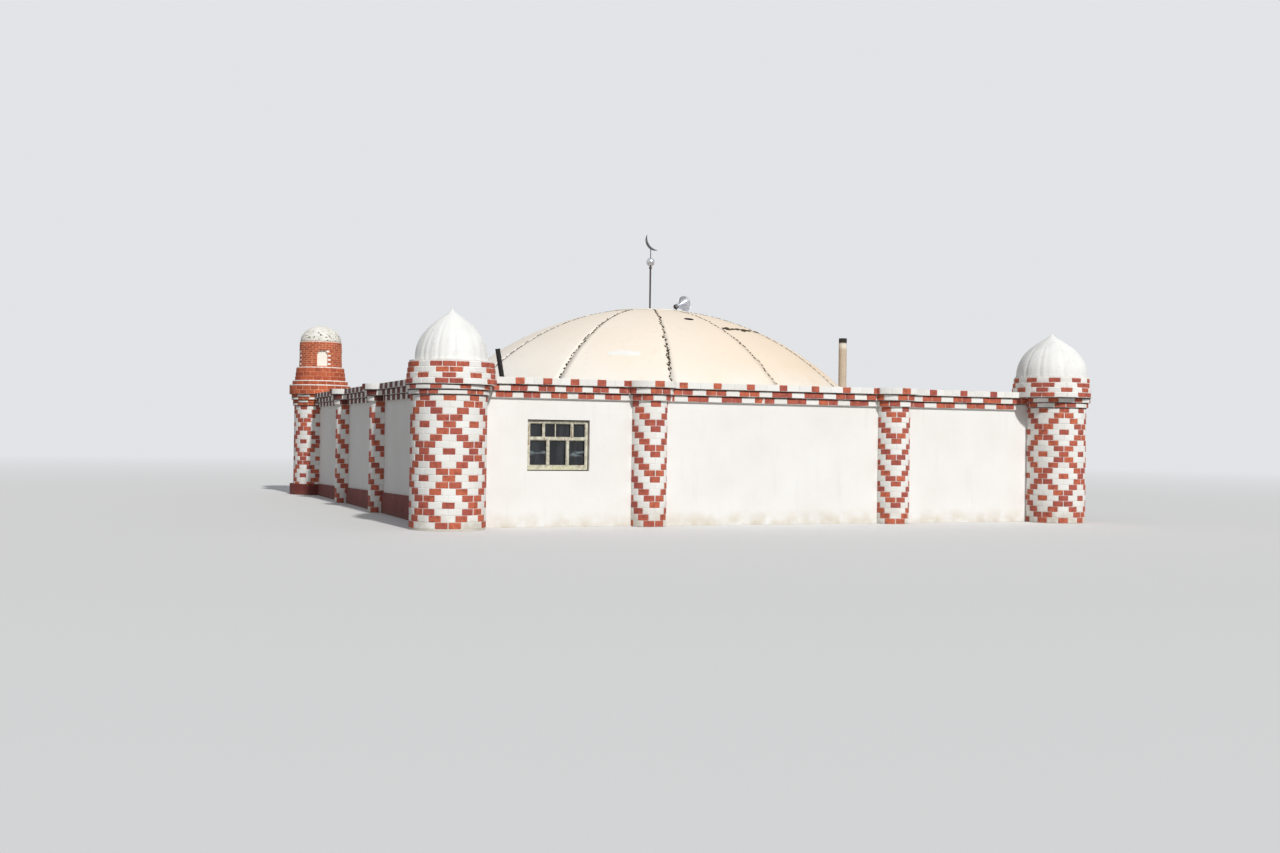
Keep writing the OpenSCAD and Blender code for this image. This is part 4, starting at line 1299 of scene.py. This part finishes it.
for side_name, sign in (("front", 1), ("back", -1)):
    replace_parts(window_joinery(side_name + "_window_joinery", sign), "window_frames")
    window_gap(side_name + "_window_gap", sign)

# The glass is painted dark as painted shade of the room behind it, with dust film and smears over it.
dusty_glass_painted_shade = Finish("dusty_glass_painted_shade", roughness=0.12)
filmed = dusty_glass_painted_shade.patches(0.25, 0.45, 0.8, detail=5, squeeze=(2, 1, 0.3))
behind = dusty_glass_painted_shade.over(rgb(26, 28, 32), rgb(74, 78, 84), dusty_glass_painted_shade.times(filmed, 0.6))
smeared = dusty_glass_painted_shade.patches(0.12, 0.45, 0.6, detail=5, squeeze=(0.5, 1, 2))
smear_rise = dusty_glass_painted_shade.between(dusty_glass_painted_shade.along("Z"), smear_foot, smear_foot + smear_edge)
smear_fall = dusty_glass_painted_shade.below(smear_top, smear_top - smear_edge)
from_middle = dusty_glass_painted_shade.joined("ABSOLUTE", dusty_glass_painted_shade.along("X"), 0.0)
from_middle = dusty_glass_painted_shade.joined("SUBTRACT", from_middle, window_x)
outer_panes = dusty_glass_painted_shade.between(dusty_glass_painted_shade.joined("ABSOLUTE", from_middle, 0.0), 0.18, 0.22)
for limit in (smear_rise, smear_fall, outer_panes):
    smeared = dusty_glass_painted_shade.times(smeared, limit)
dusty_glass_painted_shade.colour(dusty_glass_painted_shade.over(behind, rgb(150, 164, 170), dusty_glass_painted_shade.times(smeared, 0.7)))
dusty_glass_painted_shade.shader.inputs["Transmission Weight"].default_value = 0.15
dress("window_glass", dusty_glass_painted_shade)


# The door at the back is a pair of plank leaves in a heavy frame, painted brown long ago.
# Each leaf is five boards nailed on three ledges, with strap hinges and an iron pull.
door_paint = Finish("old_brown_paint", roughness=0.7)
worn_paint = door_paint.patches(0.12, 0.4, 0.7, detail=6, squeeze=(1, 1, 0.2))
boards = door_paint.over(rgb(96, 62, 44), rgb(116, 78, 56), door_paint.each())
door_paint.colour(door_paint.over(boards, rgb(146, 110, 84), door_paint.times(worn_paint, 0.5)))
door_paint.bumps(0.03, 0.002, detail=5, squeeze=(1, 1, 0.15))
dress("door_frame", door_paint)

board_count, board_gap, board_set = 5, 0.001, 0.010
ledge_half, ledge_t = 0.06, 0.012
strap_l, strap_half, strap_t = 0.42, 0.02, 0.006
pull_across, pull_up, pull_h = (0.045, 0.065), 0.95, 0.18
pull_foot_h, iron_sunk = 0.015, 0.001
leaf_low, leaf_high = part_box("door_leaves")
leaf_deep, leaf_h = leaf_high.y - leaf_low.y, leaf_high.z - leaf_low.z
leaf_inner, leaf_outer = 0.0003, leaf_high.x
board_w = (leaf_outer - leaf_inner) / board_count
planks, irons = ([], []), ([], [])


def on_leaf(parts, side, across, out, up, worn):
    """A length of wood or iron on one leaf, by its stretch across, behind the face and up."""
    x0, x1 = sorted((side * across[0], side * across[1]))
    low, high = (x0, out[0] - leaf_high.y, up[0]), (x1, out[1] - leaf_high.y, up[1])
    timber(*parts, low, high, worn)


for side in (-1, 1):
    for i in range(board_count):
        start = leaf_inner + i * board_w
        across = (start + board_gap, start + board_w - board_gap)
        on_leaf(planks, side, across, (board_set, leaf_deep), (leaf_low.z, leaf_high.z), 0.005)
    # How far up the leaf each ledge is, and whether a strap hinge lies over it
    for share, hung in ((0.10, True), (0.50, False), (0.88, True)):
        z = leaf_low.z + leaf_h * share
        across = (leaf_inner + 0.03, leaf_outer - 0.02)
        on_leaf(planks, side, across, (0, ledge_t), (z - ledge_half, z + ledge_half), 0.005)
        if hung:
            across = (leaf_outer - strap_l, leaf_outer - 0.002)
            on_leaf(irons, side, across, (-strap_t, iron_sunk), (z - strap_half, z + strap_half), 0.002)
    grip = leaf_low.z + pull_up
    on_leaf(irons, side, pull_across, (-0.03, -0.018), (grip, grip + pull_h), 0.003)
    for foot in (grip, grip + pull_h - pull_foot_h):
        on_leaf(irons, side, pull_across, (-0.020, iron_sunk), (foot, foot + pull_foot_h), 0.002)
door_planks = mesh_piece("door_planks", about(planks[0], -1), planks[1], door_paint)
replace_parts(door_planks, "door_leaves")
mesh_piece("door_ironwork", about(irons[0], -1), irons[1], dark_steel)


# The building stands on a plain pale floor that fades into a pale background, under one
# lamp like a sun nearly straight in front and soft light from all round.
floor_reach, floor_drop = 400.0, 0.002
fade_start, fade_end = 22.0, 75.0
backdrop = rgb(226, 228, 231)
lamp_turn, lamp_rise = -87, 37


def seen_rays(tree):
    """1 where the camera, a gloss or a glass sees the floor or the background, and else 0."""
    path = tree.nodes.new("ShaderNodeLightPath")
    total = path.outputs["Is Camera Ray"]
    for ray in ("Is Glossy Ray", "Is Transmission Ray"):
        either = tree.nodes.new("ShaderNodeMath")
        either.operation = "ADD"
        tree.links.new(total, either.inputs[0])
        tree.links.new(path.outputs[ray], either.inputs[1])
        total = either.outputs["Value"]
    return total


def blend(tree, share, first, second, output):
    """Sends the first shader to the output, and the second where the share is 1."""
    mixed = tree.nodes.new("ShaderNodeMixShader")
    tree.links.new(share, mixed.inputs["Fac"])
    tree.links.new(first, mixed.inputs[1])
    tree.links.new(second, mixed.inputs[2])
    tree.links.new(mixed.outputs["Shader"], tree.nodes[output].inputs["Surface"])


ground = bpy.data.meshes.new("studio_floor")
corners = [(-floor_reach, -floor_reach, 0), (floor_reach, -floor_reach, 0)]
corners += [(floor_reach, floor_reach, 0), (-floor_reach, floor_reach, 0)]
ground.from_pydata(corners, [], [[0, 1, 2, 3]])
floor_finish = Finish("studio_floor_finish", roughness=0.95)
floor_tree = floor_finish.tree
seen = seen_rays(floor_tree)
floor_finish.colour(floor_finish.over(rgb(148, 146, 143), rgb(222, 222, 221), seen))
away = floor_tree.nodes.new("ShaderNodeVectorMath")
away.operation = "LENGTH"
floor_finish.feed(away.inputs[0], floor_finish.place)
fade = floor_finish.between(away.outputs["Value"], fade_start, fade_end)
glow = floor_tree.nodes.new("ShaderNodeEmission")
glow.inputs["Color"].default_value = backdrop
pale_floor, far_floor = floor_finish.shader.outputs["BSDF"], glow.outputs["Emission"]
blend(floor_tree, floor_finish.times(fade, seen), pale_floor, far_floor, "Material Output")
ground.materials.append(floor_finish.material)
studio_floor = new_object("studio_floor", ground)
studio_floor.location.z = -floor_drop

world = bpy.data.worlds.new("studio")
bpy.context.scene.world = world
world.use_nodes = True
sky = world.node_tree
soft = sky.nodes["Background"]
soft.inputs["Color"].default_value = rgb(236, 240, 248)
soft.inputs["Strength"].default_value = 0.36
plain = sky.nodes.new("ShaderNodeBackground")
plain.inputs["Color"].default_value = backdrop
plain.inputs["Strength"].default_value = 1.0
blend(sky, seen_rays(sky), soft.outputs["Background"], plain.outputs["Background"], "World Output")

lamp = bpy.data.lights.new("key_lamp", "SUN")
lamp.energy = 2.8
lamp.angle = math.radians(2.5)
lamp.color = (1.0, 0.985, 0.96)
key_lamp = new_object("key_lamp", lamp)
key_lamp.rotation_mode = "QUATERNION"
key_lamp.rotation_quaternion = aimed(lamp_turn, lamp_rise).to_track_quat("Z", "Y")


# The camera stands at eye height, well out in front of the left corner. It looks almost
# level towards the middle of the front, and leans a little to one side.
eye = (-14.336, -35.634, 1.899)
yaw, pitch, roll = math.radians(21.869), math.radians(0.4445), math.radians(0.796)

camera = bpy.data.cameras.new("camera")
camera.sensor_width = 36.0
camera.lens = 39.09
camera.clip_end = 1000.0
viewer = new_object("camera", camera)
level_ahead = Vector((math.sin(yaw), math.cos(yaw), 0))
level_right = Vector((math.cos(yaw), -math.sin(yaw), 0))
ahead = level_ahead * math.cos(pitch) + Vector((0, 0, math.sin(pitch)))
level_up = Vector((0, 0, math.cos(pitch))) - level_ahead * math.sin(pitch)
right = level_right * math.cos(roll) + level_up * math.sin(roll)
up = level_up * math.cos(roll) - level_right * math.sin(roll)
turned = Matrix((right, up, -ahead)).transposed().to_4x4()
viewer.matrix_world = Matrix.Translation(eye) @ turned
bpy.context.scene.camera = viewer
bpy.context.scene.view_settings.view_transform = "Standard"
